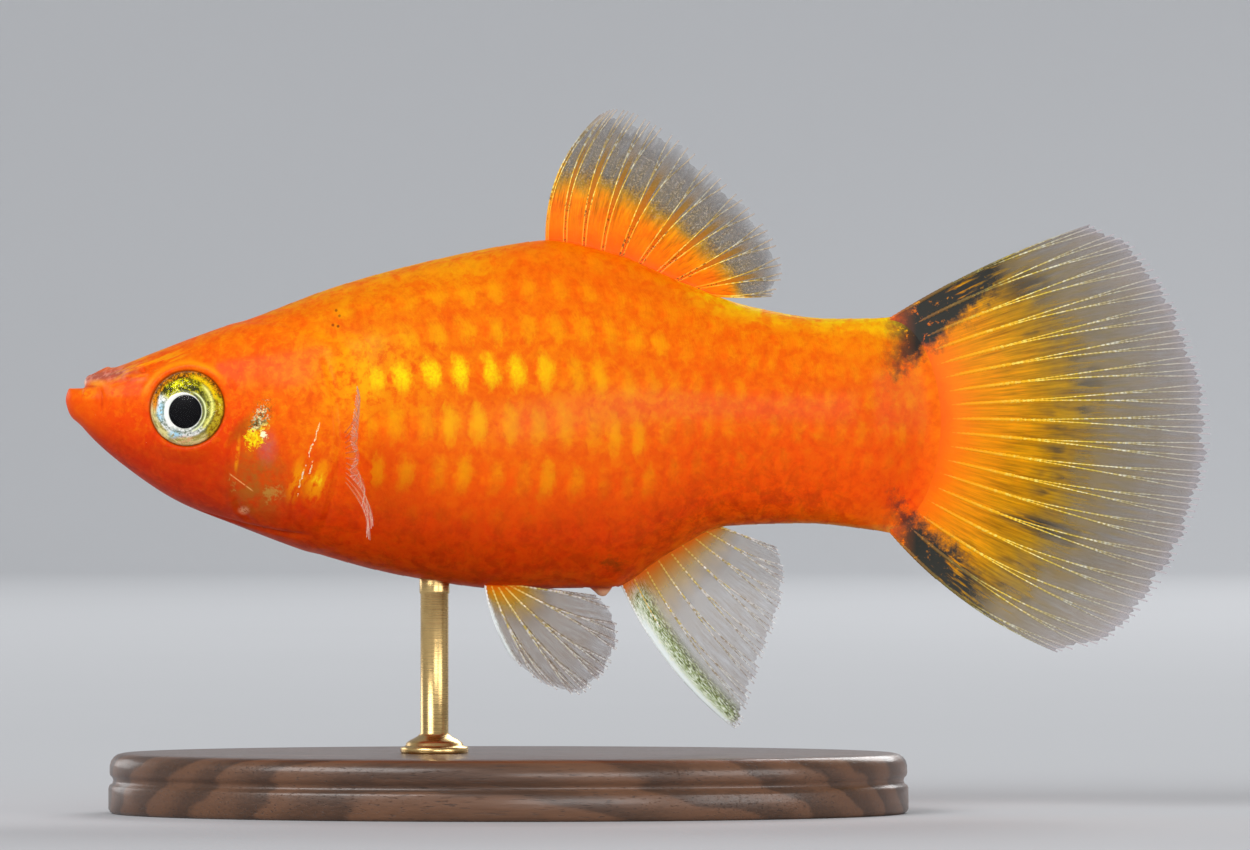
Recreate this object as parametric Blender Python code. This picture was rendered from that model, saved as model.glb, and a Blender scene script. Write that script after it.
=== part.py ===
"""A red comet platy, life size, on a plain display stand.

The fish swims to -X with its left side towards -Y. +Z is up, the stand's underside is at z = 0,
and the origin is halfway between the snout and the tail fin's rear edge.
Blender works in metres, so every length below is written in millimetres times MM.
"""

import math

import bmesh
import bpy
from mathutils import Matrix, Vector

MM = 0.001

# Driving sizes of the whole fish
TOTAL_LENGTH = 57.2 * MM
AXIS_HEIGHT = 19.65 * MM
GAP = 0.3 * MM
SNOUT_X = -TOTAL_LENGTH / 2

# Side profile: distance behind the snout, then height over the body axis, both in millimetres
BACK = (
    (0.0, 1.05), (0.3, 1.66), (0.85, 1.68), (1.1, 2.02), (1.6, 2.3), (2.1, 2.56), (2.6, 2.62), (3.95, 3.2),
    (5.75, 3.9), (9.65, 5.3), (13.55, 6.75),
    (18.75, 8.15), (22.65, 8.9), (23.95, 9.05), (27.5, 8.35), (30.45, 7.1), (34.35, 5.7), (38.25, 5.13),
    (40.85, 5.15), (43.6, 5.6),
)  # fmt: skip
BELLY = (
    (0.0, 1.05), (0.22, 0.2), (0.7, -0.25), (1.2, -0.8), (2.85, -2.25), (5.75, -4.15), (8.35, -5.2),
    (13.55, -7.05), (17.45, -7.95), (22.0, -8.5), (27.3, -8.4), (30.2, -6.68), (33.05, -5.35), (37.0, -5.22),
    (40.3, -5.55), (43.6, -6.0),
)  # fmt: skip
# Top view: half width, and the height at which the body is widest
HALF_WIDTH = (
    (0.0, 0.0), (0.22, 0.86), (0.85, 1.42), (1.65, 1.8), (3.15, 2.35), (6.0, 3.08), (9.15, 3.65), (13.6, 4.2),
    (17.6, 4.45), (21.6, 4.4), (26.6, 4.0), (31.6, 3.2), (36.6, 2.35), (39.6, 1.8), (41.6, 1.2), (43.6, 0.5),
)  # fmt: skip
WIDEST_AT = ((0.0, 1.05), (1.65, 0.6), (6.0, -0.3), (13.6, -0.9), (21.0, -0.9), (30.0, 0.3), (43.6, -0.15))
# How square the section is: 2 is an ellipse, more is flatter on top or below
SQUARE_BACK = ((0.0, 2.4), (6.0, 2.7), (13.6, 2.1), (24.0, 1.85), (43.6, 2.0))
SQUARE_BELLY = ((0.0, 2.2), (13.6, 2.1), (22.0, 2.3), (43.6, 2.0))

# Where the flesh is parted: place on the axis, bend of the cut in side view, height of the cut's middle
HEAD_END = (13.55, 0.048, -1.0)
TORSO_END = (33.4, 0.0, 0.0)
STALK_END = (43.45, 0.0758, -0.15)
RING_POINTS = 44
HEAD_RINGS = 34
TORSO_RINGS = 16
STALK_RINGS = 9
BEYOND = 8.0  # millimetres to the side, clear of the body

# Head
EYE_AT = (6.05, 0.55)
EYE_RADIUS = 1.83 * MM
EYE_DOME = 0.55 * MM
EYE_DEPTH = 1.1 * MM
EYE_TURN = (11.0, 6.4)  # degrees that the eye looks forward and up
ORBIT_RIM = (0.45, 0.35, 0.16)  # outside the eye, width and height, in millimetres
NOSTRILS = ((3.15, 2.35, 0.2), (3.95, 2.85, 0.24))  # behind the snout, height, radius
NOSTRIL_DEPTH = 0.28 * MM
NOSTRIL_TURN = 50.0  # degrees that a nostril faces away from straight up
MOUTH_LINE = ((-0.6, 1.77), (0.9, 1.77), (1.98, 1.52))
JAW_HINGE_LINE = ((1.92, 0.4), (2.45, -1.0), (3.1, -3.2))
# Lips: how far from the mouth line their rolls lie, how wide and how full they are, and where they fade out
LIPS = ((0.4, 0.24, 0.14), (-0.4, 0.24, 0.12))
LIP_END = 1.9
LIP_FADE = 0.5
GILL_COVER_AT = (13.4, -1.2)
GILL_COVER_SIZE = (4.5, 4.0)
GILL_COVER_INNER = 2.5 * MM
VENT_AT = 27.0
VENT_SIZE = (0.5, 0.34, 0.36)

# Fins: thickness is counted from the middle of the blade
MEMBRANE_HALF = 0.25 * MM
RAY_HALF = 0.43 * MM
BRANCH_HALF = 0.36 * MM
TIP_HALF = 0.14 * MM
TIP_TAPER = 0.14
BRANCH_FROM = 0.42
EDGE_SCALLOP = 0.03

# Each fin's rays from first to last: share of the root, then degrees above the rear, or length in millimetres
DORSAL = {
    "rays": 10, "rows": 7, "root": (24.0, 32.4), "ripple": 0.28,
    "angle": ((0.0, 65.5), (0.15, 70.0), (0.34, 67.0), (0.56, 46.0), (0.78, 22.0), (1.0, -8.0)),
    "length": ((0.0, 6.5), (0.2, 6.8), (0.35, 6.5), (0.56, 5.6), (0.78, 5.05), (0.89, 4.35), (1.0, 2.9)),
    "bow": ((0.0, 0.12), (0.5, 0.04), (1.0, -0.02)),
}  # fmt: skip
CAUDAL = {
    "rays": 18, "rows": 9, "root": (5.25, -5.75), "ripple": 0.4,
    "angle": ((0.0, 25.0), (0.25, 11.8), (0.5, -2.9), (0.75, -17.2), (1.0, -35.5)),
    "length": ((0.0, 10.7), (0.08, 12.1), (0.3, 13.0), (0.5, 13.5), (0.75, 13.0), (0.92, 12.0), (1.0, 10.1)),
    "bow": ((0.0, 0.03), (0.5, 0.0), (1.0, -0.06)),
}  # fmt: skip
ANAL = {
    "rays": 9, "rows": 7, "root": (27.75, 32.6), "ripple": 0.25,
    "angle": ((0.0, -50.2), (0.12, -52.0), (0.375, -47.5), (0.625, -38.5), (0.875, -24.8), (1.0, -12.6)),
    "length": ((0.0, 8.9), (0.12, 8.8), (0.25, 8.1), (0.5, 6.6), (0.75, 5.2), (0.9, 4.1), (1.0, 3.0)),
    "bow": ((0.0, -0.065), (0.3, -0.04), (1.0, 0.0)),
}  # fmt: skip
PELVIC = {
    "rays": 6, "rows": 6, "root": (20.95, 22.5), "off_middle": 1.15, "splay": 20.0,
    "angle": ((0.0, -67.0), (0.3, -54.0), (0.6, -37.0), (0.85, -17.0), (1.0, -4.0)),
    "length": ((0.0, 3.4), (0.22, 5.4), (0.42, 6.55), (0.7, 5.9), (1.0, 4.5)),
    "bow": ((0.0, -0.06), (0.5, -0.03), (1.0, 0.0)),
}  # fmt: skip
PECTORAL = {
    "rays": 11, "rows": 6, "root_top": (14.15, -0.5), "root_bottom": (14.25, -3.3),
    "rise": ((0.0, 19.0), (0.5, -2.0), (1.0, -29.0)),
    "sweep": ((0.0, 4.0), (1.0, 15.0)),
    "length": ((0.0, 6.6), (0.3, 7.35), (0.7, 6.9), (1.0, 5.4)),
    "cup": 0.05,
}  # fmt: skip

# Stand
BASE_SIZE = (40.0 * MM, 24.0 * MM, 3.0 * MM)
BASE_X = -6.5 * MM
BASE_EDGE = ((0.0, 0.0), (0.82, 0.0), (0.95, 0.25), (1.0, 0.65))  # share of the height, inset in millimetres
BASE_POINTS = 48
ROD_X = -10.2 * MM
ROD_RADIUS = 0.75 * MM
ROD_FOOT = (1.7 * MM, 0.8 * MM)
ROD_POINTS = 20


def curve_through(points, blunt=False):
    """A smooth function through the points that doesn't swing past them; a blunt one starts off square to x."""
    xs = [math.sqrt(p[0]) if blunt else p[0] for p in points]
    ys = [p[1] for p in points]
    slopes = [(ys[i + 1] - ys[i]) / (xs[i + 1] - xs[i]) for i in range(len(xs) - 1)]
    tangents = [slopes[0]]
    for before, after in zip(slopes, slopes[1:]):
        flat = before * after <= 0
        tangents.append(0.0 if flat else 2 * before * after / (before + after))
    tangents.append(slopes[-1])

    def value(x):
        x = math.sqrt(max(x, 0.0)) if blunt else x
        x = min(max(x, xs[0]), xs[-1])
        i = max(k for k in range(len(xs) - 1) if xs[k] <= x)
        width = xs[i + 1] - xs[i]
        u = (x - xs[i]) / width
        return (
            ys[i] * (1 + 2 * u) * (1 - u) ** 2
            + tangents[i] * width * u * (1 - u) ** 2
            + ys[i + 1] * u * u * (3 - 2 * u)
            + tangents[i + 1] * width * u * u * (u - 1)
        )

    return value


back = curve_through(BACK, blunt=True)
belly = curve_through(BELLY, blunt=True)
half_width = curve_through(HALF_WIDTH, blunt=True)
widest_at = curve_through(WIDEST_AT)
mouth_line = curve_through(MOUTH_LINE)
square_back = curve_through(SQUARE_BACK)
square_belly = curve_through(SQUARE_BELLY)


def place(behind_snout, side, height):
    """A point given in millimetres behind the snout, to the right and over the axis, as metres in the part's frame."""
    return Vector((SNOUT_X + behind_snout * MM, side * MM, AXIS_HEIGHT + height * MM))


def side_of(behind_snout, height):
    """Half the body's width at that place, in millimetres."""
    middle = widest_at(behind_snout)
    if height >= middle:
        reach, power = back(behind_snout) - middle, square_back(behind_snout)
    else:
        reach, power = middle - belly(behind_snout), square_belly(behind_snout)
    share = min(1.0, abs(height - middle) / reach)
    return half_width(behind_snout) * (1 - share**power) ** (1 / power)


def section_point(behind_snout, turn):
    """Side and height of the skin there; turn is 0 on the back and goes round by the right side."""
    across, up = math.sin(turn), math.cos(turn)
    middle = widest_at(behind_snout)
    if up >= 0:
        reach, power = back(behind_snout) - middle, square_back(behind_snout)
    else:
        reach, power = middle - belly(behind_snout), square_belly(behind_snout)
    spread = (abs(across) ** power + abs(up) ** power) ** (-1 / power)
    return half_width(behind_snout) * across * spread, middle + reach * up * spread


def bump(distance, width):
    """A smooth bump, 1 at distance 0 and next to nothing past twice the width."""
    return math.exp(-((distance / width) ** 2))


def swell(behind_snout, height):
    """How far the lips and the rim of the eye socket stand out of the plain skin, in millimetres."""
    to_eye = math.hypot(behind_snout - EYE_AT[0], height - EYE_AT[1])
    outside, wide, tall = ORBIT_RIM
    out = tall * bump(to_eye - EYE_RADIUS / MM - outside, wide)
    if behind_snout < LIP_END:
        over_mouth = height - mouth_line(behind_snout)
        fade = min(1.0, (LIP_END - behind_snout) / LIP_FADE)
        out += fade * sum(full * bump(over_mouth - away, width) for away, width, full in LIPS)
    return out


def plain_point(station, bend, bend_height, turn):
    """A point of the plain skin, in millimetres, on the bent cross cut that meets the axis at that station."""
    behind_snout = station
    for _ in range(6):
        side, height = section_point(behind_snout, turn)
        behind_snout = station - bend * (height - bend_height) ** 2
    return Vector((behind_snout, side, height))


def skin_point(station, bend, bend_height, turn):
    """The same point with the lips and the eye's rim raised along the skin's normal, as metres."""
    point = plain_point(station, bend, bend_height, turn)
    step = 0.02
    along = plain_point(station + step, bend, bend_height, turn) - plain_point(station, bend, bend_height, turn)
    around = plain_point(station, bend, bend_height, turn + step) - plain_point(station, bend, bend_height, turn - step)
    point += along.cross(around).normalized() * swell(point.x, point.z)
    return place(*point)


def mesh_object(name, points, faces):
    """A smooth shaded object of a closed mesh, with its faces turned outwards."""
    mesh = bpy.data.meshes.new(name)
    mesh.from_pydata([tuple(p) for p in points], [], faces)
    work = bmesh.new()
    work.from_mesh(mesh)
    bmesh.ops.recalc_face_normals(work, faces=work.faces)
    work.to_mesh(mesh)
    work.free()
    mesh.shade_smooth()
    return link(bpy.data.objects.new(name, mesh))


def link(obj):
    bpy.context.scene.collection.objects.link(obj)
    return obj


def copy_of(obj, name):
    other = obj.copy()
    other.data = obj.data.copy()
    other.name = name
    return link(other)


def flesh(name, start, end, shares):
    """A length of the body between two cross cuts; the head, which starts at 0, closes at the snout in a tip."""
    n = RING_POINTS
    points = []
    for share in shares:
        station, bend, height = (a + (b - a) * share for a, b in zip(start, end))
        points += [skin_point(station, bend, height, 2 * math.pi * j / n) for j in range(n)]
    last = (len(shares) - 1) * n
    faces = [
        (first + j, first + n + j, first + n + (j + 1) % n, first + (j + 1) % n)
        for first in range(0, last, n)
        for j in range(n)
    ]
    caps = [last] if start[0] == 0 else [0, last]
    for first in caps:
        for j in range(n // 2):
            rung = (first + (n - j) % n, first + j, first + j + 1, first + n - j - 1)
            faces.append(tuple(dict.fromkeys(rung)))
    if start[0] == 0:
        points.append(place(0.0, 0.0, BACK[0][1]))
        faces += [(len(points) - 1, (j + 1) % n, j) for j in range(n)]
    return mesh_object(name, points, faces)


def boolean(obj, others, operation):
    """Joins the others to obj, cuts them from it or keeps what they share, and removes them."""
    helpers = bpy.data.collections.new("helpers")
    for other in others:
        for collection in list(other.users_collection):
            collection.objects.unlink(other)
        helpers.objects.link(other)
    bpy.context.scene.collection.children.link(helpers)
    modifier = obj.modifiers.new("join or cut", "BOOLEAN")
    modifier.operation = operation
    modifier.solver = "EXACT"
    modifier.operand_type = "COLLECTION"
    modifier.collection = helpers
    graph = bpy.context.evaluated_depsgraph_get()
    made = bpy.data.meshes.new_from_object(obj.evaluated_get(graph))
    obj.modifiers.clear()
    obj.data = made
    for other in others:
        bpy.data.objects.remove(other)
    bpy.data.collections.remove(helpers)
    return obj


def islands(work):
    """The separate surfaces of a bmesh, as lists of faces."""
    left = set(work.faces)
    found = []
    while left:
        stack = [left.pop()]
        group = []
        while stack:
            face = stack.pop()
            group.append(face)
            for edge in face.edges:
                for other in edge.link_faces:
                    if other in left:
                        left.remove(other)
                        stack.append(other)
        found.append(group)
    return found


def keep_island(obj, rank):
    """Leaves only the surface that comes out largest under rank, a function of its faces."""
    work = bmesh.new()
    work.from_mesh(obj.data)
    bmesh.ops.remove_doubles(work, verts=work.verts, dist=1e-6)
    groups = sorted(islands(work), key=rank)
    extra = [face for group in groups[:-1] for face in group]
    bmesh.ops.delete(work, geom=extra, context="FACES")
    work.to_mesh(obj.data)
    work.free()
    obj.data.shade_smooth()


def prism(name, outline, low, high):
    """A side-view outline in millimetres, pushed through from one side to the other."""
    n = len(outline)
    points = [place(x, low, z) for x, z in outline] + [place(x, high, z) for x, z in outline]
    faces = [tuple(range(n)), tuple(range(2 * n - 1, n - 1, -1))]
    faces += [(i, i + n, (i + 1) % n + n, (i + 1) % n) for i in range(n)]
    return mesh_object(name, points, faces)


def slab_outline(line, width):
    """The outline of a thin band along a side-view line."""
    near, far = [], []
    for i, (x, z) in enumerate(line):
        x0, z0 = line[max(0, i - 1)]
        x1, z1 = line[min(len(line) - 1, i + 1)]
        length = math.hypot(x1 - x0, z1 - z0)
        across = (-(z1 - z0) / length * width / 2, (x1 - x0) / length * width / 2)
        near.append((x + across[0], z + across[1]))
        far.append((x - across[0], z - across[1]))
    return near + far[::-1]


def turned(name, profile, count, matrix):
    """A round shape: profile holds radius and height, from bottom to top, and both ends close on the axis."""
    points = [matrix @ Vector((0, 0, profile[0][1]))]
    for radius, height in profile[1:-1]:
        for j in range(count):
            turn = 2 * math.pi * j / count
            points.append(matrix @ Vector((radius * math.cos(turn), radius * math.sin(turn), height)))
    points.append(matrix @ Vector((0, 0, profile[-1][1])))
    last = len(points) - 1
    faces = []
    for j in range(count):
        k = (j + 1) % count
        faces.append((0, 1 + k, 1 + j))
        for i in range(len(profile) - 3):
            a, b = 1 + i * count, 1 + (i + 1) * count
            faces.append((a + j, a + k, b + k, b + j))
        top = 1 + (len(profile) - 3) * count
        faces.append((top + j, top + k, last))
    return mesh_object(name, points, faces)


def eye_frame(side):
    """Where an eye sits and which way it looks; its own +Z points out of the head."""
    x, z = EYE_AT
    forward, upward = (math.radians(a) for a in EYE_TURN)
    out = Vector((-math.sin(forward), side * math.cos(forward) * math.cos(upward), math.sin(upward)))
    turn = out.to_track_quat("Z", "Y").to_matrix().to_4x4()
    return Matrix.Translation(place(x, side * side_of(x, z), z)) @ turn


def eye_profile(grow, rings):
    """Half an oval, deeper inwards than outwards, grown all round by grow."""
    profile = []
    for i in range(rings + 1):
        turn = math.pi * (i / rings - 0.5)
        reach = (EYE_DOME if turn > 0 else EYE_DEPTH) + grow
        profile.append(((EYE_RADIUS + grow) * math.cos(turn), reach * math.sin(turn)))
    return profile


def nostril_pits():
    pits = []
    for side in (-1, 1):
        for x, z, radius in NOSTRILS:
            y = side_of(x, z)
            facing = math.radians(NOSTRIL_TURN)
            out = Vector((0, side * math.sin(facing), math.cos(facing)))
            matrix = Matrix.Translation(place(x, side * y, z)) @ out.to_track_quat("Z", "Y").to_matrix().to_4x4()
            mouth, floor = radius * MM, radius * MM * 0.6
            profile = ((0, -NOSTRIL_DEPTH), (floor, -NOSTRIL_DEPTH), (mouth, NOSTRIL_DEPTH), (0, NOSTRIL_DEPTH))
            pits.append(turned("pit", profile, 8, matrix))
    return pits


def gill_outline(grow):
    """The front of the gill cover in side view: half an oval, run on past the head's rear cut."""
    x, z = GILL_COVER_AT
    wide, tall = GILL_COVER_SIZE[0] + grow, GILL_COVER_SIZE[1] + grow
    count = 14
    arc = [math.pi * (0.5 + i / count) for i in range(count + 1)]
    outline = [(x + wide * math.cos(a), z + tall * math.sin(a)) for a in arc]
    return outline + [(x + 2.0, z - tall), (x + 2.0, z + tall)]


def head_nodes():
    """Head, lower jaw, gill covers and eyes."""
    cut = GAP / MM / 2
    start, end = (0.0, 0.0, BACK[0][1]), (HEAD_END[0] - cut, HEAD_END[1], HEAD_END[2])
    head = flesh("head", start, end, [(i / HEAD_RINGS) ** 1.5 for i in range(1, HEAD_RINGS + 1)])
    nodes = []
    for side, word in ((-1, "left"), (1, "right")):
        low, high = sorted((side * GILL_COVER_INNER / MM, side * BEYOND))
        window = prism("window", gill_outline(0.0), low, high)
        nodes.append(boolean(copy_of(head, "gill_cover_" + word), [window], "INTERSECT"))
    cutters = nostril_pits()
    for side in (-1, 1):
        low, high = sorted((side * (GILL_COVER_INNER - GAP) / MM, side * BEYOND))
        cutters.append(prism("pocket", gill_outline(GAP / MM), low, high))
        cutters.append(turned("socket", eye_profile(GAP, 10), 28, eye_frame(side)))
    boolean(head, cutters, "DIFFERENCE")
    line = MOUTH_LINE + JAW_HINGE_LINE
    boolean(head, [prism("mouth", slab_outline(line, GAP / MM), -BEYOND, BEYOND)], "DIFFERENCE")
    jaw = copy_of(head, "jaw")
    keep_island(head, len)
    keep_island(jaw, lambda group: -abs(sum(f.calc_center_median().x for f in group) / len(group) - SNOUT_X))
    for side, word in ((-1, "left"), (1, "right")):
        nodes.append(turned("eye_" + word, eye_profile(0.0, 10), 24, eye_frame(side)))
    nodes += [head, jaw]
    for obj in nodes:
        keep_island(obj, len)
    return nodes


def body_nodes():
    """Torso with the vent, and the stalk of the tail."""
    cut = GAP / MM / 2
    torso = flesh(
        "torso",
        (HEAD_END[0] + cut, HEAD_END[1], HEAD_END[2]),
        (TORSO_END[0] - cut, TORSO_END[1], TORSO_END[2]),
        [i / TORSO_RINGS for i in range(TORSO_RINGS + 1)],
    )
    vent = turned(
        "vent",
        [(math.cos(math.pi * (i / 6 - 0.5)), math.sin(math.pi * (i / 6 - 0.5))) for i in range(7)],
        12,
        Matrix.Translation(place(VENT_AT, 0, belly(VENT_AT))) @ Matrix.Diagonal([s * MM for s in VENT_SIZE] + [1]),
    )
    boolean(torso, [vent], "UNION")
    keep_island(torso, len)
    stalk = flesh(
        "tail_stalk",
        (TORSO_END[0] + cut, TORSO_END[1], TORSO_END[2]),
        STALK_END,
        [i / STALK_RINGS for i in range(STALK_RINGS + 1)],
    )
    return [torso, stalk]


def blade_half(ray_share, along):
    """Half the blade's thickness; ray_share is 0 on a ray's middle and 0.5 halfway to the next ray."""
    fade = min(1.0, (1.0 - along) / TIP_TAPER)
    if ray_share == 0:
        bump = RAY_HALF if along < BRANCH_FROM else MEMBRANE_HALF
    elif ray_share < 0.5:
        bump = MEMBRANE_HALF if along < BRANCH_FROM else BRANCH_HALF
    else:
        bump = MEMBRANE_HALF
    return TIP_HALF + (bump - TIP_HALF) * fade


def fin(name, rays, rows, blade_point):
    """A thin blade with its rays raised on both faces; blade_point(share across, share along) is its middle."""
    columns = []
    for ray in range(rays - 1):
        for step, share in ((0.0, 0.0), (0.25, 0.25), (0.5, 0.5), (0.75, 0.25)):
            columns.append(((ray + step) / (rays - 1), share))
    columns.append((1.0, 0.0))
    small = 1e-3
    points = []
    for across, ray_share in columns:
        edge = 1.0 - EDGE_SCALLOP * (1.0 if ray_share == 0.5 else 0.35 if ray_share == 0 else 0.0)
        for row in range(rows + 1):
            along = row / rows
            reach = along * edge
            middle = blade_point(across, reach)
            to_side = blade_point(across + small, reach) - blade_point(across - small, reach)
            to_tip = blade_point(across, reach + small) - blade_point(across, reach - small)
            normal = to_side.cross(to_tip).normalized() * blade_half(ray_share, along)
            points += [middle + normal, middle - normal]
    tall = 2 * (rows + 1)
    faces = []
    for i in range(len(columns) - 1):
        for row in range(rows):
            a, b = i * tall + 2 * row, (i + 1) * tall + 2 * row
            c, d = b + 2, a + 2
            faces += [(a, b, c), (a, c, d), (a + 1, c + 1, b + 1), (a + 1, d + 1, c + 1)]
        for row in (0, rows):
            a, b = i * tall + 2 * row, (i + 1) * tall + 2 * row
            faces += [(a, a + 1, b + 1), (a, b + 1, b)] if row == 0 else [(a, b + 1, a + 1), (a, b, b + 1)]
    for i, turned_round in ((0, True), (len(columns) - 1, False)):
        for row in range(rows):
            a = i * tall + 2 * row
            wall = [(a, a + 1, a + 3), (a, a + 3, a + 2)]
            faces += [tuple(reversed(f)) for f in wall] if turned_round else wall
    return mesh_object(name, points, faces)


def fan(sizes, root, lay):
    """The middle of a fin: lay turns a length and an angle in degrees into a step from the root."""
    angle, length, bow = (curve_through(sizes[k]) for k in ("angle", "length", "bow"))

    def point(across, along):
        t = min(max(across, -0.01), 1.01)
        tip = lay(length(t), angle(t))
        side = lay(length(t), angle(t) + 90)
        return root(t) + tip * along + side * (bow(t) * 4 * along * (1 - along))

    return point


def in_middle_plane(length, angle):
    turn = math.radians(angle)
    return Vector((math.cos(turn), 0.0, math.sin(turn))) * length * MM


def with_ripple(point, height, waves, start):
    """Lets a blade in the middle plane swing a little from side to side towards its edge."""

    def rippled(across, along):
        swing = height * MM * math.sin(2 * math.pi * waves * across + start) * max(0.0, along) ** 1.6
        return point(across, along) + Vector((0.0, swing, 0.0))

    return rippled


def median_fins():
    """Dorsal, tail and anal fins, which stand in the middle plane."""

    def on_back(t):
        x = DORSAL["root"][0] + (DORSAL["root"][1] - DORSAL["root"][0]) * t
        return place(x, 0.0, back(x)) + Vector((0, 0, GAP))

    def on_stalk(t):
        z = CAUDAL["root"][0] + (CAUDAL["root"][1] - CAUDAL["root"][0]) * t
        station, bend, middle = STALK_END
        return place(station - bend * (z - middle) ** 2, 0.0, z) + Vector((GAP, 0, 0))

    def on_belly(t):
        x = ANAL["root"][0] + (ANAL["root"][1] - ANAL["root"][0]) * t
        return place(x, 0.0, belly(x)) - Vector((0, 0, GAP))

    made = []
    for name, sizes, root, waves, start in (
        ("fin_dorsal", DORSAL, on_back, 0.9, 0.4),
        ("fin_tail", CAUDAL, on_stalk, 1.4, 0.6),
        ("fin_anal", ANAL, on_belly, 0.8, 2.2),
    ):
        point = with_ripple(fan(sizes, root, in_middle_plane), sizes["ripple"], waves, start)
        made.append(fin(name, sizes["rays"], sizes["rows"], point))
    return made


def pelvic_fins():
    made = []
    for side, word in ((-1, "left"), (1, "right")):
        splay = math.radians(PELVIC["splay"])

        def lay(length, angle, side=side, splay=splay):
            turn = math.radians(angle)
            down = math.sin(turn) * length * MM
            return Vector((math.cos(turn) * length * MM, -side * math.tan(splay) * down, down))

        def root(t, side=side):
            x = PELVIC["root"][0] + (PELVIC["root"][1] - PELVIC["root"][0]) * t
            y = PELVIC["off_middle"]
            z = lowest_skin(x, y)
            return place(x, side * y, z) - Vector((0, 0, GAP + MEMBRANE_HALF * math.sin(splay)))

        made.append(fin("fin_pelvic_" + word, PELVIC["rays"], PELVIC["rows"], fan(PELVIC, root, lay)))
    return made


def lowest_skin(behind_snout, side):
    """Height of the belly's skin at that distance from the middle plane."""
    middle, power = widest_at(behind_snout), square_belly(behind_snout)
    share = (1 - (side / half_width(behind_snout)) ** power) ** (1 / power)
    return middle - (middle - belly(behind_snout)) * share


def pectoral_fins():
    rise, sweep, length = (curve_through(PECTORAL[k]) for k in ("rise", "sweep", "length"))
    made = []
    for side, word in ((-1, "left"), (1, "right")):

        def point(across, along, side=side):
            t = min(max(across, -0.01), 1.01)
            x, z = (a + (b - a) * t for a, b in zip(PECTORAL["root_top"], PECTORAL["root_bottom"]))
            root = place(x, side * (side_of(x, z) + GAP / MM), z)
            up, back_turn = math.radians(rise(t)), math.radians(sweep(t))
            reach = length(t) * MM
            tip = Vector((math.sin(back_turn), side * math.cos(back_turn), 0.0)) * math.cos(up) * reach
            tip.z = math.sin(up) * reach
            cup = Vector((PECTORAL["cup"] * reach * 4 * along * (1 - along), 0.0, 0.0))
            return root + tip * along + cup

        made.append(fin("fin_pectoral_" + word, PECTORAL["rays"], PECTORAL["rows"], point))
    return made


def stand_nodes():
    """A flat oval base and one short rod under the chest."""
    long, wide, tall = BASE_SIZE
    points, faces = [], []
    for share, inset in BASE_EDGE:
        for j in range(BASE_POINTS):
            turn = 2 * math.pi * j / BASE_POINTS
            points.append(
                (
                    BASE_X + (long / 2 - inset * MM) * math.cos(turn),
                    (wide / 2 - inset * MM) * math.sin(turn),
                    share * tall,
                )
            )
    n = BASE_POINTS
    for i in range(len(BASE_EDGE) - 1):
        for j in range(n):
            k = (j + 1) % n
            faces.append((i * n + j, i * n + k, (i + 1) * n + k, (i + 1) * n + j))
    faces.append(tuple(range(n - 1, -1, -1)))
    faces.append(tuple(range((len(BASE_EDGE) - 1) * n, len(BASE_EDGE) * n)))
    base = mesh_object("stand_base", points, faces)
    base.data.set_sharp_from_angle(angle=math.radians(30))

    under = (ROD_X - SNOUT_X) / MM
    top = AXIS_HEIGHT + belly(under + ROD_RADIUS / MM) * MM - GAP
    foot_radius, foot_height = ROD_FOOT
    foot = tall + GAP
    rod = turned(
        "stand_rod",
        (
            (0, foot), (foot_radius, foot), (foot_radius, foot + foot_height * 0.6),
            (ROD_RADIUS, foot + foot_height), (ROD_RADIUS, top), (0, top),
        ),
        ROD_POINTS,
        Matrix.Translation((ROD_X, 0, 0)),
    )  # fmt: skip
    rod.data.set_sharp_from_angle(angle=math.radians(30))
    return [base, rod]


def finish(name, colour, roughness, metallic=0.0, alpha=1.0):
    material = bpy.data.materials.new(name)
    material.use_nodes = True
    shader = material.node_tree.nodes["Principled BSDF"]
    shader.inputs["Base Color"].default_value = (*colour, 1.0)
    shader.inputs["Roughness"].default_value = roughness
    shader.inputs["Metallic"].default_value = metallic
    shader.inputs["Alpha"].default_value = alpha
    return material


def main():
    for obj in list(bpy.data.objects):
        bpy.data.objects.remove(obj)
    orange = finish("orange skin", (0.95, 0.16, 0.01), 0.35)
    red = finish("red-orange head skin", (0.9, 0.09, 0.01), 0.35)
    gold = finish("golden iris", (0.62, 0.55, 0.16), 0.25, metallic=0.4)
    yellow = finish("yellow tail membrane", (0.72, 0.42, 0.08), 0.4, alpha=0.8)
    amber = finish("amber fin membrane", (0.8, 0.34, 0.06), 0.4, alpha=0.8)
    clear = finish("clear fin membrane", (0.75, 0.68, 0.6), 0.35, alpha=0.6)
    wood = finish("dark wood", (0.07, 0.035, 0.02), 0.45)
    brass = finish("brass", (0.78, 0.57, 0.26), 0.3, metallic=1.0)

    chosen = {"eye": gold, "fin_tail": yellow, "fin_dorsal": amber, "fin": clear, "head": red, "jaw": red}
    chosen |= {"gill": red, "torso": orange, "tail_stalk": orange, "stand_base": wood, "stand_rod": brass}
    nodes = head_nodes() + body_nodes() + median_fins() + pelvic_fins() + pectoral_fins() + stand_nodes()
    for obj in nodes:
        key = max((k for k in chosen if obj.name.startswith(k)), key=len)
        obj.data.materials.clear()
        obj.data.materials.append(chosen[key])


main()
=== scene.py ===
"""A red comet platy, life size, as a museum model on a plain stand."""

import math

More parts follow.
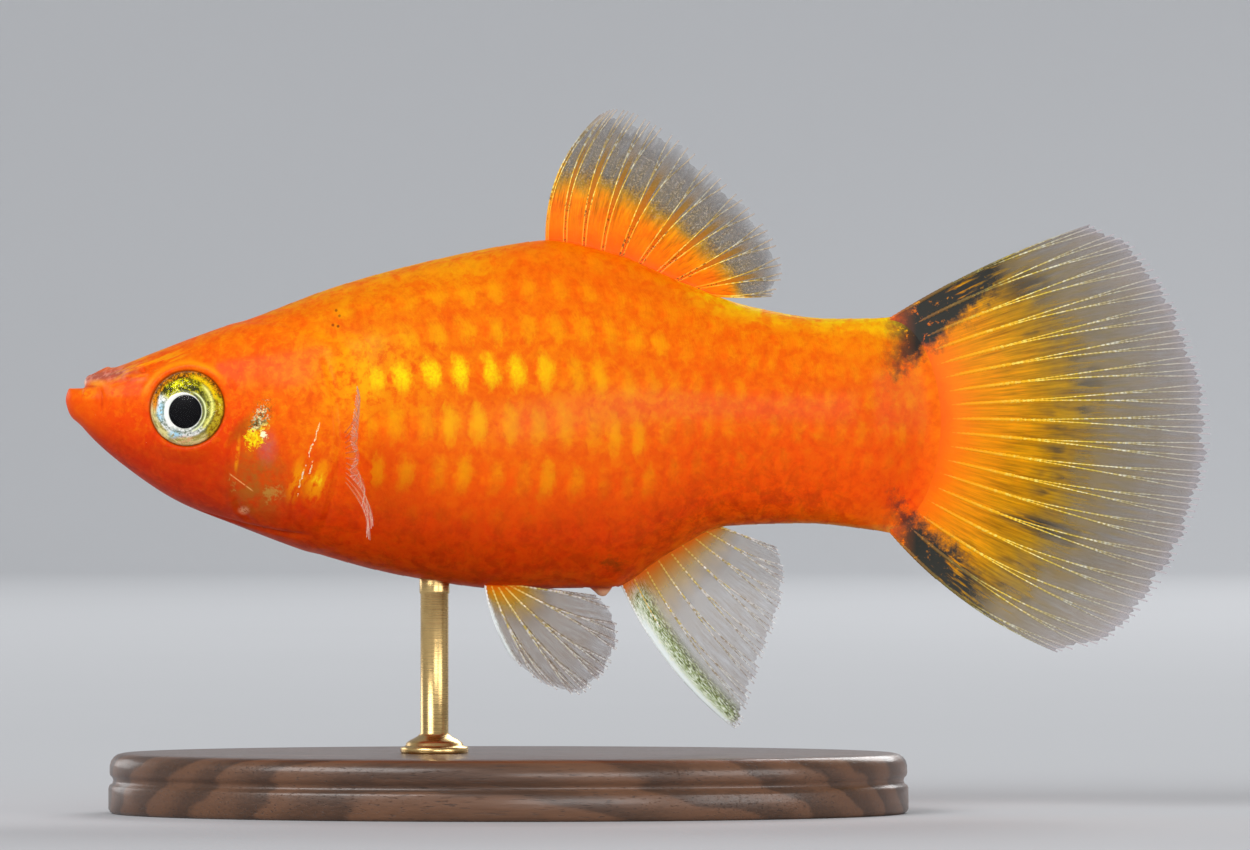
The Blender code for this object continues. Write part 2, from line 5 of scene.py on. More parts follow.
import bmesh
import bpy
import numpy as np
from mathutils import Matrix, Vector


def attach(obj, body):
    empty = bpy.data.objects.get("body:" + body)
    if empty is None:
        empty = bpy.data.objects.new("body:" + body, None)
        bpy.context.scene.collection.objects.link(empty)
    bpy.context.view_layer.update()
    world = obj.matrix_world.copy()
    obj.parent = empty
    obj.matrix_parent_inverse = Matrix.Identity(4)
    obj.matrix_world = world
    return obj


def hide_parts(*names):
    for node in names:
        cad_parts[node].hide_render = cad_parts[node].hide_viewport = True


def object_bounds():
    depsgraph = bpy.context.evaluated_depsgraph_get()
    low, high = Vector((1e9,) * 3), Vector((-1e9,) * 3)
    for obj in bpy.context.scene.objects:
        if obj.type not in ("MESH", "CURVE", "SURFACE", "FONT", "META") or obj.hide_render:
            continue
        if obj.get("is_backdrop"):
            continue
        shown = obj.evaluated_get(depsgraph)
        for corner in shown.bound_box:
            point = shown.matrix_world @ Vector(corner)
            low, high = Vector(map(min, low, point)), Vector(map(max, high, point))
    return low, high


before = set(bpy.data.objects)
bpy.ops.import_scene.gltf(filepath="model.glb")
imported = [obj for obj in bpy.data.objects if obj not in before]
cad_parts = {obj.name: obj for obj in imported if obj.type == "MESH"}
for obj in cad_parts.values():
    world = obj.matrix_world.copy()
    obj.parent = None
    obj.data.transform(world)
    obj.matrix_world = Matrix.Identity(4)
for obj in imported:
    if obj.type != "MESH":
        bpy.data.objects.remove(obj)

bl_info = {
    "name": "Red comet platy model",
    "version": (1, 0, 0),
    "blender": (4, 5, 0),
    "location": "View3D > Sidebar > Platy",
    "description": "Builds the skin, scales, eyes, fins and stand of a life-size platy",
    "category": "Object",
}

MM = 0.001
TOTAL_LENGTH = 57.2  # millimetres, like all the sizes below
AXIS_HEIGHT = 19.65
GAP = 0.3
SNOUT_X = -TOTAL_LENGTH / 2

# Side profile: distance behind the snout, then height over the body axis
BACK = (
    (0.0, 1.05), (0.3, 1.66), (0.84, 1.64), (0.92, 1.84), (1.04, 2.05), (1.38, 2.29), (2.1, 2.64),
    (2.4, 2.61), (2.62, 2.68), (3.95, 3.2), (5.75, 3.9), (9.65, 5.3), (13.55, 6.75), (18.75, 8.15),
    (22.65, 8.9), (23.95, 9.05), (27.5, 8.35), (30.45, 7.1), (34.35, 5.7), (38.25, 5.13),
    (40.85, 5.15), (43.6, 5.6), (46.4, 6.5),
)  # fmt: skip
BELLY = (
    (0.0, 1.05), (0.22, 0.2), (0.7, -0.25), (1.2, -0.8), (2.85, -2.25), (5.75, -4.15), (8.35, -5.2),
    (13.55, -7.05), (17.45, -7.95), (22.0, -8.5), (27.3, -8.4), (30.2, -6.68), (33.05, -5.35),
    (37.0, -5.22), (40.3, -5.55), (43.6, -6.0), (46.4, -7.2),
)  # fmt: skip
# Top view: half width, and the height at which the body is widest
HALF_WIDTH = (
    (0.0, 0.0), (0.22, 0.86), (0.85, 1.42), (1.65, 1.8), (3.15, 2.35), (6.0, 3.08), (9.15, 3.65),
    (13.6, 4.2), (17.6, 4.45), (21.6, 4.4), (26.6, 4.0), (31.6, 3.2), (36.6, 2.35), (39.6, 1.8),
    (41.6, 1.2), (43.6, 0.5), (44.4, 0.2), (45.6, 0.03),
)  # fmt: skip
WIDEST_AT = ((0.0, 1.05), (1.65, 0.6), (6.0, -0.3), (13.6, -0.9), (21.0, -0.9), (30.0, 0.3), (43.6, -0.15))
SQUARE_BACK = ((0.0, 2.4), (6.0, 2.7), (13.6, 2.1), (24.0, 1.85), (43.6, 2.0))
SQUARE_BELLY = ((0.0, 2.2), (13.6, 2.1), (22.0, 2.3), (43.6, 2.0))
# Cross cuts: place on the axis, bend in side view, height of the bend's middle
TAIL_CUT, TAIL_BEND, TAIL_MIDDLE = 43.45, 0.0758, -0.15
CUT_STATIONS = (0.0, 13.55, 33.4, TAIL_CUT, 46.2)
CUT_BENDS = (0.0, 0.048, 0.0, TAIL_BEND, TAIL_BEND)
CUT_MIDDLES = (1.05, -1.0, 0.0, TAIL_MIDDLE, TAIL_MIDDLE)
SKIN_END = 45.5
# Stations between which the skin thins out into the tail fin
TAIL_TAPER = (40.5, 45.2)
HEAD_RINGS = 176
BODY_RINGS = 190
RING_POINTS = 256

# Head
EYE_AT = (6.15, 0.59)
EYE_RADIUS = 1.89
EYE_DOME = 0.55
EYE_DEPTH = 1.1
EYE_TURN = (11.0, 6.4)
PUPIL_RADIUS = 0.84
PUPIL_SHIFT = (0.0, -0.22)
MOUTH_LINE = ((-0.6, 1.7), (0.9, 1.7), (1.4, 1.7), (1.98, 1.62))
LIP_END = 1.9
NOSTRILS = ((3.2, 2.1, 0.13), (3.9, 2.5, 0.16))
SNOUT_RIDGES = (
    ((3.4, 2.2), (4.3, 2.3), (5.2, 2.62)),
    ((2.7, 2.25), (3.6, 2.65), (4.7, 3.05)),
    ((4.4, 2.75), (5.6, 3.1), (6.8, 3.2)),
)
CHEEK_FOLD = ((1.7, 1.62), (1.86, 1.3), (1.9, 1.05), (1.8, 0.55), (1.7, 0.1))
CHEEK_EDGE = ((9.0, 0.6), (8.55, -0.5), (8.3, -1.6), (8.3, -3.0), (8.7, -4.4), (9.6, -5.4))
GILL_EDGE = (13.62, CUT_BENDS[1], CUT_MIDDLES[1])
GILL_TOP = 3.3
GILL_FOOT = -5.9
# Soft ribs of the gill cover: place before its edge, then height
GILL_RIBS = ((-0.5, 0.03), (-1.15, 0.02), (-1.9, 0.015))
VENT_AT = 27.0

# How far down the side each row of scales lies, from the back to the belly
ROWS_FRONT = tuple(enumerate((0.0, 0.078, 0.165, 0.262, 0.37, 0.497, 0.625, 0.75, 0.873, 1.0)))
ROWS_REAR = tuple(enumerate((0.0, 0.09, 0.185, 0.29, 0.406, 0.54, 0.67, 0.785, 0.89, 1.0)))
# Scale columns: column, then place on the axis
COLUMNS = ((-1, 6.8), (0, 8.4), (3, 13.1), (10, 23.2), (14, 28.4), (18, 32.9), (29, 44.5), (31, 46.1))
COLUMN_COUNT = 29
ROW_COUNT = 18
SCALES_END = 43.3
SCALE_LIFT = 0.024

SOLID_FIN = 0.5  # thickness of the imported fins
MEMBRANE_COLUMNS = 16  # from one ray to the next
MEMBRANE_LINES = 40  # from the root to the edge

DORSAL = {
    "rays": 10, "root": (24.0, 32.4), "sink": -0.4, "ripple": (0.28, 0.9, 0.4),
    "angle": ((0.0, 65.5), (0.15, 70.0), (0.34, 67.0), (0.56, 46.0), (0.78, 22.0), (1.0, -8.0)),
    "length": ((0.0, 6.5), (0.2, 6.8), (0.35, 6.5), (0.56, 5.6), (0.78, 5.05), (0.89, 4.35), (1.0, 2.9)),
    "bow": ((0.0, 0.12), (0.5, 0.04), (1.0, -0.02)),
}  # fmt: skip
CAUDAL = {
    "rays": 18, "root": (5.25, -5.75), "sink": 0.0, "ripple": (0.4, 1.4, 0.6),
    "angle": ((0.0, 25.0), (0.25, 11.8), (0.5, -2.9), (0.75, -17.2), (1.0, -35.5)),
    "length": ((0.0, 10.7), (0.08, 12.1), (0.3, 13.0), (0.5, 13.5), (0.75, 13.0), (0.92, 12.0), (1.0, 10.1)),
    "bow": ((0.0, 0.03), (0.5, 0.0), (1.0, -0.06)),
}  # fmt: skip
ANAL = {
    "rays": 9, "root": (27.75, 32.6), "sink": 0.4, "ripple": (0.25, 0.8, 2.2),
    "angle": ((0.0, -50.2), (0.12, -52.0), (0.375, -47.5), (0.625, -38.5), (0.875, -24.8), (1.0, -12.6)),
    "length": ((0.0, 8.9), (0.12, 8.8), (0.25, 8.1), (0.5, 6.6), (0.75, 5.2), (0.9, 4.1), (1.0, 3.0)),
    "bow": ((0.0, -0.065), (0.3, -0.04), (1.0, 0.0)),
}  # fmt: skip
PELVIC = {
    "rays": 6, "root": (20.95, 22.5), "sink": 0.45, "off_middle": 1.15, "splay": 20.0,
    "angle": ((0.0, -67.0), (0.3, -54.0), (0.6, -37.0), (0.85, -17.0), (1.0, -1.0)),
    "length": ((0.0, 3.4), (0.22, 5.4), (0.42, 6.55), (0.7, 6.2), (0.9, 5.2), (1.0, 4.0)),
    "bow": ((0.0, -0.06), (0.5, -0.03), (1.0, 0.0)),
}  # fmt: skip
PECTORAL = {
    "rays": 11, "root_top": (14.15, -0.5), "root_bottom": (14.25, -3.3),
    "rise": ((0.0, 19.0), (0.5, -2.0), (1.0, -29.0)),
    "sweep": ((0.0, 6.0), (0.35, 3.0), (0.55, 3.5), (0.78, 10.0), (1.0, 14.0)),
    "length": ((0.0, 6.6), (0.3, 7.35), (0.7, 6.9), (1.0, 5.4)),
    "cup": 0.05, "wave": (0.2, 5.0),
}  # fmt: skip
# How a fin's rays part: spread at the root and at the tip in shares of the way to the next ray,
# where the second parting starts and how wide it opens, then the radius and length of a ray's joints
# and how far they narrow
PARTING = {
    "dorsal": (0.09, 0.23, 0.25, 0.6, 0.1, 0.088, 0.3, 0.1),
    "tail": (0.0, 0.23, 0.3, 0.6, 0.11, 0.098, 0.24, 0.22),
    "clear": (0.0, 0.21, 0.3, 0.62, 0.1, 0.07, 0.22, 0.5),
    "pectoral": (0.0, 0.21, 0.4, 0.7, 0.1, 0.042, 0.3, 0.3),
}

BASE_SIZE = (40.0, 24.0, 3.0)
BASE_X = -6.5
ROD_X = -10.2
ROD_RADIUS = 0.75
ROD_FOOT = 1.7


class PlatySkin(bpy.types.PropertyGroup):
    coat_depth: bpy.props.FloatProperty(
        name="Coat depth", description="How far the skin lies under the scales' outside, in metres",
        default=0.07 * MM, min=0.0, unit="LENGTH",
    )  # fmt: skip
    lift: bpy.props.FloatProperty(
        name="Scale lift", description="How far a scale's rear edge stands over its root, in metres",
        default=SCALE_LIFT * MM, min=0.0, unit="LENGTH",
    )  # fmt: skip
    gold: bpy.props.FloatVectorProperty(
        name="Gold", description="Colour of the brightest scales", default=(1.0, 0.76, 0.002),
        size=3, subtype="COLOR", min=0.0, max=1.0,
    )  # fmt: skip
    red: bpy.props.FloatVectorProperty(
        name="Red", description="Colour between the scales", default=(1.0, 0.1, 0.0005),
        size=3, subtype="COLOR", min=0.0, max=1.0,
    )  # fmt: skip
    comet: bpy.props.FloatVectorProperty(
        name="Comet", description="Colour of the dark marks at the tail", default=(0.028, 0.024, 0.02),
        size=3, subtype="COLOR", min=0.0, max=1.0,
    )  # fmt: skip


class PlatyFins(bpy.types.PropertyGroup):
    membrane: bpy.props.FloatProperty(
        name="Membrane", description="Thickness of the fins' membrane, in metres", default=0.09 * MM, min=0.0,
        unit="LENGTH",
    )  # fmt: skip
    clearness: bpy.props.FloatProperty(
        name="Clearness", description="How far light passes the fins' outer parts", default=1.0,
        min=0.0, max=2.0, subtype="FACTOR",
    )  # fmt: skip


class PlatyStand(bpy.types.PropertyGroup):
    wood: bpy.props.FloatVectorProperty(
        name="Wood", description="Lighter colour of the base's wood", default=(0.16, 0.07, 0.032),
        size=3, subtype="COLOR", min=0.0, max=1.0,
    )  # fmt: skip
    brass: bpy.props.FloatVectorProperty(
        name="Brass", description="Colour of the rod", default=(0.72, 0.49, 0.2),
        size=3, subtype="COLOR", min=0.0, max=1.0,
    )  # fmt: skip


class PlatyStudio(bpy.types.PropertyGroup):
    floor: bpy.props.FloatVectorProperty(
        name="Floor", description="Colour of the floor", default=(0.6, 0.61, 0.63),
        size=3, subtype="COLOR", min=0.0, max=1.0,
    )  # fmt: skip
    key: bpy.props.FloatProperty(
        name="Key light", description="Strength of the main lamp", default=4.15, min=0.0, unit="POWER"
    )


def curve_through(points, blunt=False):
    """A smooth function that doesn't swing past its points; a blunt one starts off square to x."""
    knots = np.array(points, float)
    xs, ys = knots[:, 0], knots[:, 1]
    if blunt:
        xs = np.sqrt(xs)
    slopes = np.diff(ys) / np.diff(xs)
    inner = [0.0 if a * b <= 0 else 2 * a * b / (a + b) for a, b in zip(slopes, slopes[1:])]
    tangents = np.array([slopes[0], *inner, slopes[-1]])

    def value(x):
        x = np.asarray(x, float)
        x = np.sqrt(np.maximum(x, 0.0)) if blunt else x
        x = np.clip(x, xs[0], xs[-1])
        i = np.clip(np.searchsorted(xs, x, side="right") - 1, 0, len(xs) - 2)
        width = xs[i + 1] - xs[i]
        u = (x - xs[i]) / width
        return (
            ys[i] * (1 + 2 * u) * (1 - u) ** 2
            + tangents[i] * width * u * (1 - u) ** 2
            + ys[i + 1] * u * u * (3 - 2 * u)
            + tangents[i + 1] * width * u * u * (u - 1)
        )

    return value


back = curve_through(BACK, blunt=True)
belly = curve_through(BELLY, blunt=True)
half_width = curve_through(HALF_WIDTH, blunt=True)
widest_at = curve_through(WIDEST_AT)
mouth_line = curve_through(MOUTH_LINE)
square_back = curve_through(SQUARE_BACK)
square_belly = curve_through(SQUARE_BELLY)
rows_front = curve_through(ROWS_FRONT)
rows_rear = curve_through(ROWS_REAR)
column_place = curve_through(COLUMNS)


def smooth(value, low, high):
    """0 at low, 1 at high and a soft step between them."""
    t = np.clip((value - low) / (high - low), 0.0, 1.0)
    return t * t * (3 - 2 * t)


def within(value, start, full, fade, end):
    """Rises from start to full and falls again from fade to end."""
    return smooth(value, start, full) * smooth(value, end, fade)


def bump(distance, width):
    return np.exp(-((distance / width) ** 2))


def placed(points):
    """Millimetres behind the snout, to the right and over the axis, as metres in the part's frame."""
    return (np.asarray(points, float) + (SNOUT_X, 0.0, AXIS_HEIGHT)) * MM


def section(behind, turn):
    """Side and height of the plain skin; turn is 0 on the back and goes round by the right side."""
    across, up = np.sin(turn), np.cos(turn)
    middle = widest_at(behind)
    top = up >= 0
    reach = np.where(top, back(behind) - middle, middle - belly(behind))
    power = np.where(top, square_back(behind), square_belly(behind))
    spread = (np.abs(across) ** power + np.abs(up) ** power) ** (-1 / power)
    return half_width(behind) * across * spread, middle + reach * up * spread


def side_of(behind, height):
    """Half the body's width at that place."""
    middle = widest_at(behind)
    top = height >= middle
    reach = np.where(top, back(behind) - middle, middle - belly(behind))
    power = np.where(top, square_back(behind), square_belly(behind))
    share = np.minimum(1.0, np.abs(height - middle) / reach)
    return half_width(behind) * (1 - share**power) ** (1 / power)


def plain_skin(station, turn):
    """The plain skin on bent cross cuts, in millimetres; station and turn are arrays of one shape."""
    bend = np.interp(station, CUT_STATIONS, CUT_BENDS)
    middle = np.interp(station, CUT_STATIONS, CUT_MIDDLES)
    behind = np.array(station, float)
    for _ in range(8):
        side, height = section(behind, turn)
        behind = station - bend * (height - middle) ** 2
    side = side * (1 - 0.97 * smooth(station, *TAIL_TAPER))
    return np.stack([behind, side, height], -1)


def plain_normal(station, turn):
    step = 0.01
    along = plain_skin(station + step, turn) - plain_skin(station - step * (station > step), turn)
    around = plain_skin(station, turn + step) - plain_skin(station, turn - step)
    normal = np.cross(along, around)
    return normal / np.maximum(np.linalg.norm(normal, axis=-1, keepdims=True), 1e-12)


def belt_of(points):
    """How far down the side each point of a ring lies, 0 on the back and 1 on the belly."""
    steps = np.linalg.norm(np.diff(points, axis=1, append=points[:, :1]), axis=-1)
    run = np.concatenate([np.zeros((len(points), 1)), np.cumsum(steps, 1)], 1)[:, :-1]
    whole = steps.sum(1, keepdims=True)
    return 1 - np.abs(2 * run / whole - 1)


def scaled_from(belt):
    """Where behind the snout the scales start: on the nape well ahead of the gill cover."""
    side = 8.6 + 5.35 * smooth(belt, 0.05, 0.3)
    return side - 1.6 * smooth(belt, 0.84, 0.96)


def coat_share(behind, belt, station):
    """1 where the scales lie, 0 on the bare head, round the vent and at the tail fin."""
    start = scaled_from(belt)
    vent = np.hypot((behind - VENT_AT - 0.1) / 0.9, (1 - belt) / 0.1)
    return smooth(behind, start - 0.5, start + 0.4) * smooth(vent, 0.7, 1.2) * smooth(station, 43.6, 42.2)


def to_line(x, z, line):
    """Distance in side view to a chain of points, and the share of the way along it."""
    best = np.full(x.shape, 1e9)
    share = np.zeros(x.shape)
    for i, ((x0, z0), (x1, z1)) in enumerate(zip(line, line[1:])):
        dx, dz = x1 - x0, z1 - z0
        t = np.clip(((x - x0) * dx + (z - z0) * dz) / (dx * dx + dz * dz), 0, 1)
        away = np.hypot(x - x0 - t * dx, z - z0 - t * dz)
        closer = away < best
        best = np.where(closer, away, best)
        share = np.where(closer, (i + t) / (len(line) - 1), share)
    return best, share


def lip_relief(x, y, z):
    """Folded lips with the mouth line between them, and the rough pad over the mouth."""
    over_mouth = z - mouth_line(x)
    lips = smooth(x, LIP_END + 0.3, LIP_END - 0.3)
    folds = 1 + 0.3 * np.sin(x * 8.5 + z * 4.0 + np.abs(y) * 2.0)
    out = lips * (0.1 * bump(over_mouth - 0.36, 0.2) * folds + 0.035 * bump(over_mouth + 0.7, 0.3))
    out += 0.015 * bump(over_mouth + 0.2, 0.09) * smooth(x, 0.95, 0.45)
    out -= smooth(x, 1.7, 1.1) * 0.16 * bump(over_mouth, 0.07)
    pad = smooth(np.hypot((x - 2.1) / 1.3, (z - 2.45) / 0.5), 1.2, 0.5)
    bent = 2.0 * np.sin(x * 5.0 + z * 3.0)
    return out + pad * 0.022 * np.sin(x * 11.0 - z * 8.0 + np.abs(y) * 5.0 + bent)


def snout_relief(x, z):
    """The fold at the corner of the mouth, the ridges up the snout and the nostrils."""
    away, share = to_line(x, z, CHEEK_FOLD)
    out = -0.05 * bump(away, 0.08) * smooth(share, 1.0, 0.7)
    for ridge in SNOUT_RIDGES:
        away, share = to_line(x, z, ridge)
        out += 0.045 * bump(away, 0.1) * within(share, 0.0, 0.2, 0.8, 1.0)
    for at, height, radius in NOSTRILS:
        flat = np.hypot(x - at, z - height)
        out += 0.045 * bump(flat - radius * 1.6, 0.1) - 0.2 * smooth(flat, radius * 1.2, radius * 0.4)
    return out


def cheek_relief(x, z):
    """The brow over the eye, and the furrow and swell along the cheek's rear edge."""
    eye = np.hypot(x - EYE_AT[0], z - EYE_AT[1])
    brow = smooth(z, 0.6, 1.9)
    out = 0.04 * bump(eye - EYE_RADIUS - 0.36, 0.12) * (0.05 + 0.95 * brow)
    out -= 0.015 * bump(eye - EYE_RADIUS - 0.66, 0.12) * brow
    away, share = to_line(x, z, CHEEK_EDGE)
    ahead, _ = to_line(x, z, [(a - 0.28, b) for a, b in CHEEK_EDGE])
    return out + (0.05 * bump(ahead, 0.22) - 0.09 * bump(away, 0.13)) * within(share, 0.0, 0.2, 0.8, 1.0)


def gill_relief(x, z):
    """The gill cover's step down to the body, with its soft ribs."""
    station, bend, middle = GILL_EDGE
    behind = x - (station - bend * (z - middle) ** 2)
    step = 0.09 * within(behind, -3.2, -0.4, -0.08, 0.06) - 0.05 * bump(behind - 0.14, 0.12)
    ribs = sum(full * bump(behind - at, 0.2) for at, full in GILL_RIBS) * smooth(z, -1.5, -3.5)
    return (step + ribs) * within(z, GILL_FOOT, GILL_FOOT + 1.0, GILL_TOP - 1.6, GILL_TOP)


def under_relief(x, y, z):
    """The furrows of the throat, and the papilla with the hollow behind it."""
    throat = np.abs(y) - 0.3 - 0.34 * np.maximum(x - 6.4, 0)
    under = smooth(z, belly(x) + 1.6, belly(x) + 0.6) * within(x, 6.0, 7.4, 11.4, 12.6)
    papilla = 0.4 * smooth(np.hypot((x - VENT_AT + 0.2) / 0.62, y / 0.42), 1.05, 0.1)
    hollow = 0.2 * bump(np.hypot((x - VENT_AT - 0.5) / 0.3, y / 0.4), 1.0)
    return (papilla - hollow) * smooth(z, -6.5, -7.8) - 0.12 * bump(throat, 0.16) * under


def relief(x, y, z):
    """How far the head's and the vent's forms stand out of the plain skin, in millimetres."""
    head = lip_relief(x, y, z) + snout_relief(x, z) + cheek_relief(x, z) + gill_relief(x, z)
    return head + under_relief(x, y, z)


def eye_axes(side):
    """An eye's middle in millimetres from the snout, and the ways it looks, up and to the rear."""
    forward, upward = (math.radians(a) for a in EYE_TURN)
    out = np.array([-math.sin(forward), side * math.cos(forward) * math.cos(upward), math.sin(upward)])
    out /= np.linalg.norm(out)
    up = np.array([0.0, 0.0, 1.0])
    up = up - up.dot(out) * out
    up /= np.linalg.norm(up)
    rear = np.cross(up, out) * -side
    at, height = EYE_AT
    middle = np.array([at, side * float(side_of(at, height)), height])
    return middle, out, up, rear


def with_sockets(points):
    """Draws the skin round each eye into an even rim, and sinks it behind the eyeball."""
    for side in (-1, 1):
        middle, out, up, rear = eye_axes(side)
        away = points - middle
        deep, high, aft = away @ out, away @ up, away @ rear
        flat = np.hypot(high, aft)
        near = smooth(flat, EYE_RADIUS + 0.95, EYE_RADIUS + 0.08) * (deep > -3.0)
        rim = -0.1 + 0.07 * bump(flat - EYE_RADIUS - 0.22, 0.16)
        rim = rim - 0.75 * smooth(flat, EYE_RADIUS + 0.03, EYE_RADIUS - 0.35)
        points = points + (near * (rim - deep))[..., None] * out
    return points


def link(obj):
    bpy.context.scene.collection.objects.link(obj)
    return obj


def mesh_object(name, points, faces, edges=()):
    mesh = bpy.data.meshes.new(name)
    mesh.from_pydata(np.asarray(points).reshape(-1, 3).tolist(), list(edges), faces)
    mesh.shade_smooth()
    return link(bpy.data.objects.new(name, mesh))


def outward(obj):
    """Turns a closed mesh's faces outwards."""
    work = bmesh.new()
    work.from_mesh(obj.data)
    bmesh.ops.recalc_face_normals(work, faces=work.faces)
    work.to_mesh(obj.data)
    work.free()
    return obj


def grid_faces(rows, columns, closed=False):
    """Quads of a grid of points, row by row; a closed one joins its last column to the first."""
    i, j = np.meshgrid(np.arange(rows - 1), np.arange(columns if closed else columns - 1), indexing="ij")
    k = (j + 1) % columns
    faces = np.stack([i * columns + j, i * columns + k, (i + 1) * columns + k, (i + 1) * columns + j], -1)
    return faces.reshape(-1, 4).tolist()


def number_on_points(obj, name, values):
    layer = obj.data.attributes.new(name, "FLOAT", "POINT")
    layer.data.foreach_set("value", np.asarray(values, np.float32).ravel())


def vector_on_points(obj, name, values):
    layer = obj.data.attributes.new(name, "FLOAT_VECTOR", "POINT")
    layer.data.foreach_set("vector", np.asarray(values, np.float32).ravel())


def uv_from_points(obj, name, values):
    """A UV map that gives each corner its point's own place."""
    layer = obj.data.uv_layers.new(name=name)
    corners = np.zeros(len(obj.data.loops), np.int32)
    obj.data.loops.foreach_get("vertex_index", corners)
    layer.data.foreach_set("uv", np.asarray(values, np.float32).reshape(-1, 2)[corners].ravel())


def finished(piece, material, slot, *nodes):
    """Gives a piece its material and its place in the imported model."""
    piece.data.materials.clear()
    piece.data.materials.append(material)
    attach(piece, "root")
    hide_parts(*nodes)


class Term:
    """What a node puts out, so that a tree can be written as sums."""

    def __init__(self, net, socket):
        self.net, self.socket = net, socket

    def __add__(self, other):
        return self.net.math("ADD", self, other)

    def __sub__(self, other):
        return self.net.math("SUBTRACT", self, other)

    def __rsub__(self, other):
        return self.net.math("SUBTRACT", other, self)

    def __mul__(self, other):
        return self.net.math("MULTIPLY", self, other)

    def __truediv__(self, other):
        return self.net.math("DIVIDE", self, other)

    def __pow__(self, other):
        return self.net.math("POWER", self, other)

    def __abs__(self):
        return self.net.math("ABSOLUTE", self)

    __radd__ = __add__
    __rmul__ = __mul__


class Net:
    """A node tree, with a short call for each kind of node that is used often."""

    def __init__(self, tree):
        self.tree = tree

    def node(self, kind, feeds=None, **settings):
        made = self.tree.nodes.new(kind)
        for key, value in settings.items():
            setattr(made, key, value)
        for key, value in (feeds or {}).items():
            if isinstance(value, Term):
                self.tree.links.new(value.socket, made.inputs[key])
            else:
                made.inputs[key].default_value = value
        return made

    def term(self, kind, feeds=None, out=0, **settings):
        return Term(self, self.node(kind, feeds, **settings).outputs[out])

    def math(self, operation, a, b=0.0):
        return self.term("ShaderNodeMath", {0: a, 1: b}, operation=operation)

    def smooth(self, value, low, high):
        feeds = {0: value, 1: low, 2: high}
        return self.term("ShaderNodeMapRange", feeds, interpolation_type="SMOOTHSTEP")

    def span(self, value, low, high, to_low, to_high):
        return self.term("ShaderNodeMapRange", {0: value, 1: low, 2: high, 3: to_low, 4: to_high})

    def within(self, value, start, full, fade, end):
        """Rises from start to full and falls again from fade to end."""
        return self.smooth(value, start, full) * self.smooth(value, end, fade)

    def length(self, a, b):
        return self.math("SQRT", a * a + b * b)

    def bump_at(self, value, middle, width):
        """1 at the middle, fading on both sides."""
        share = (value - middle) / width
        return self.math("EXPONENT", share * share * -1.0)

    def oval(self, x, z, middle, size, soft=0.5):
        """1 inside an oval, 0 outside, with a soft rim."""
        a, b = (x - middle[0]) / size[0], (z - middle[1]) / size[1]
        return self.smooth(self.length(a, b), 1 + soft, 1 - soft)

    def mix(self, share, a, b, blend_type="MIX"):
        a, b = (c if isinstance(c, Term) else (*c, 1.0) for c in (a, b))
        feeds = {0: share, 6: a, 7: b}
        return self.term("ShaderNodeMix", feeds, out=2, data_type="RGBA", blend_type=blend_type)

    def noise(self, where, scale, detail=2.0, rough=0.5, twist=0.0):
        feeds = {"Vector": where, "Scale": scale, "Detail": detail, "Roughness": rough, "Distortion": twist}
        return self.term("ShaderNodeTexNoise", feeds)

    def ramp(self, value, stops):
        made = self.node("ShaderNodeValToRGB", {0: value})
        line = made.color_ramp.elements
        while len(line) < len(stops):
            line.new(0.5)
        for element, (at, colour) in zip(line, stops):
            element.position = at
            element.color = (*colour, 1.0)
        return Term(self, made.outputs[0])

    def split(self, vector):
        made = self.node("ShaderNodeSeparateXYZ", {0: vector})
        return [Term(self, made.outputs[i]) for i in range(3)]

    def joined(self, x, y, z=0.0):
        return self.term("ShaderNodeCombineXYZ", {0: x, 1: y, 2: z})

    def stretched(self, vector, by):
        return self.term("ShaderNodeVectorMath", {0: vector, 1: by}, operation="MULTIPLY")


class Paint(Net):
    """A material's nodes, which read places in millimetres from the snout and over the body axis."""

    def __init__(self, name):
        self.material = bpy.data.materials.new(name)
        self.material.use_nodes = True
        super().__init__(self.material.node_tree)
        self.shader = self.tree.nodes["Principled BSDF"]
        self.where = self.stretched(self.term("ShaderNodeTexCoord", out=3), (1 / MM, 1 / MM, 1 / MM))
        x, y, z = self.split(self.where)
        self.behind, self.side, self.over = x - SNOUT_X, abs(y), z - AXIS_HEIGHT
        self.colour = None

    def lay(self, share, colour, blend_type="MIX"):
        """Lays a colour over the paint so far."""
        self.colour = self.mix(share, self.colour, colour, blend_type)

    def cloud(self, scale, detail=2.0, rough=0.5, twist=0.0):
        """Noise that fills the piece."""
        return self.noise(self.where, scale, detail, rough, twist)

    def number(self, name):
        return self.term("ShaderNodeAttribute", out=2, attribute_name=name)

    def relief(self, height, distance, strength=1.0):
        feeds = {"Height": height, "Distance": distance * MM, "Strength": strength}
        return self.term("ShaderNodeBump", feeds)

    def done(self, **feeds):
        """The material, its shader fed with the paint and the rest; an underscore stands for a space."""
        for key, value in {"Base_Color": self.colour, **feeds}.items():
            socket = self.shader.inputs[key.replace("_", " ")]
            if isinstance(value, Term):
                self.tree.links.new(value.socket, socket)
            else:
                socket.default_value = value
        return self.material


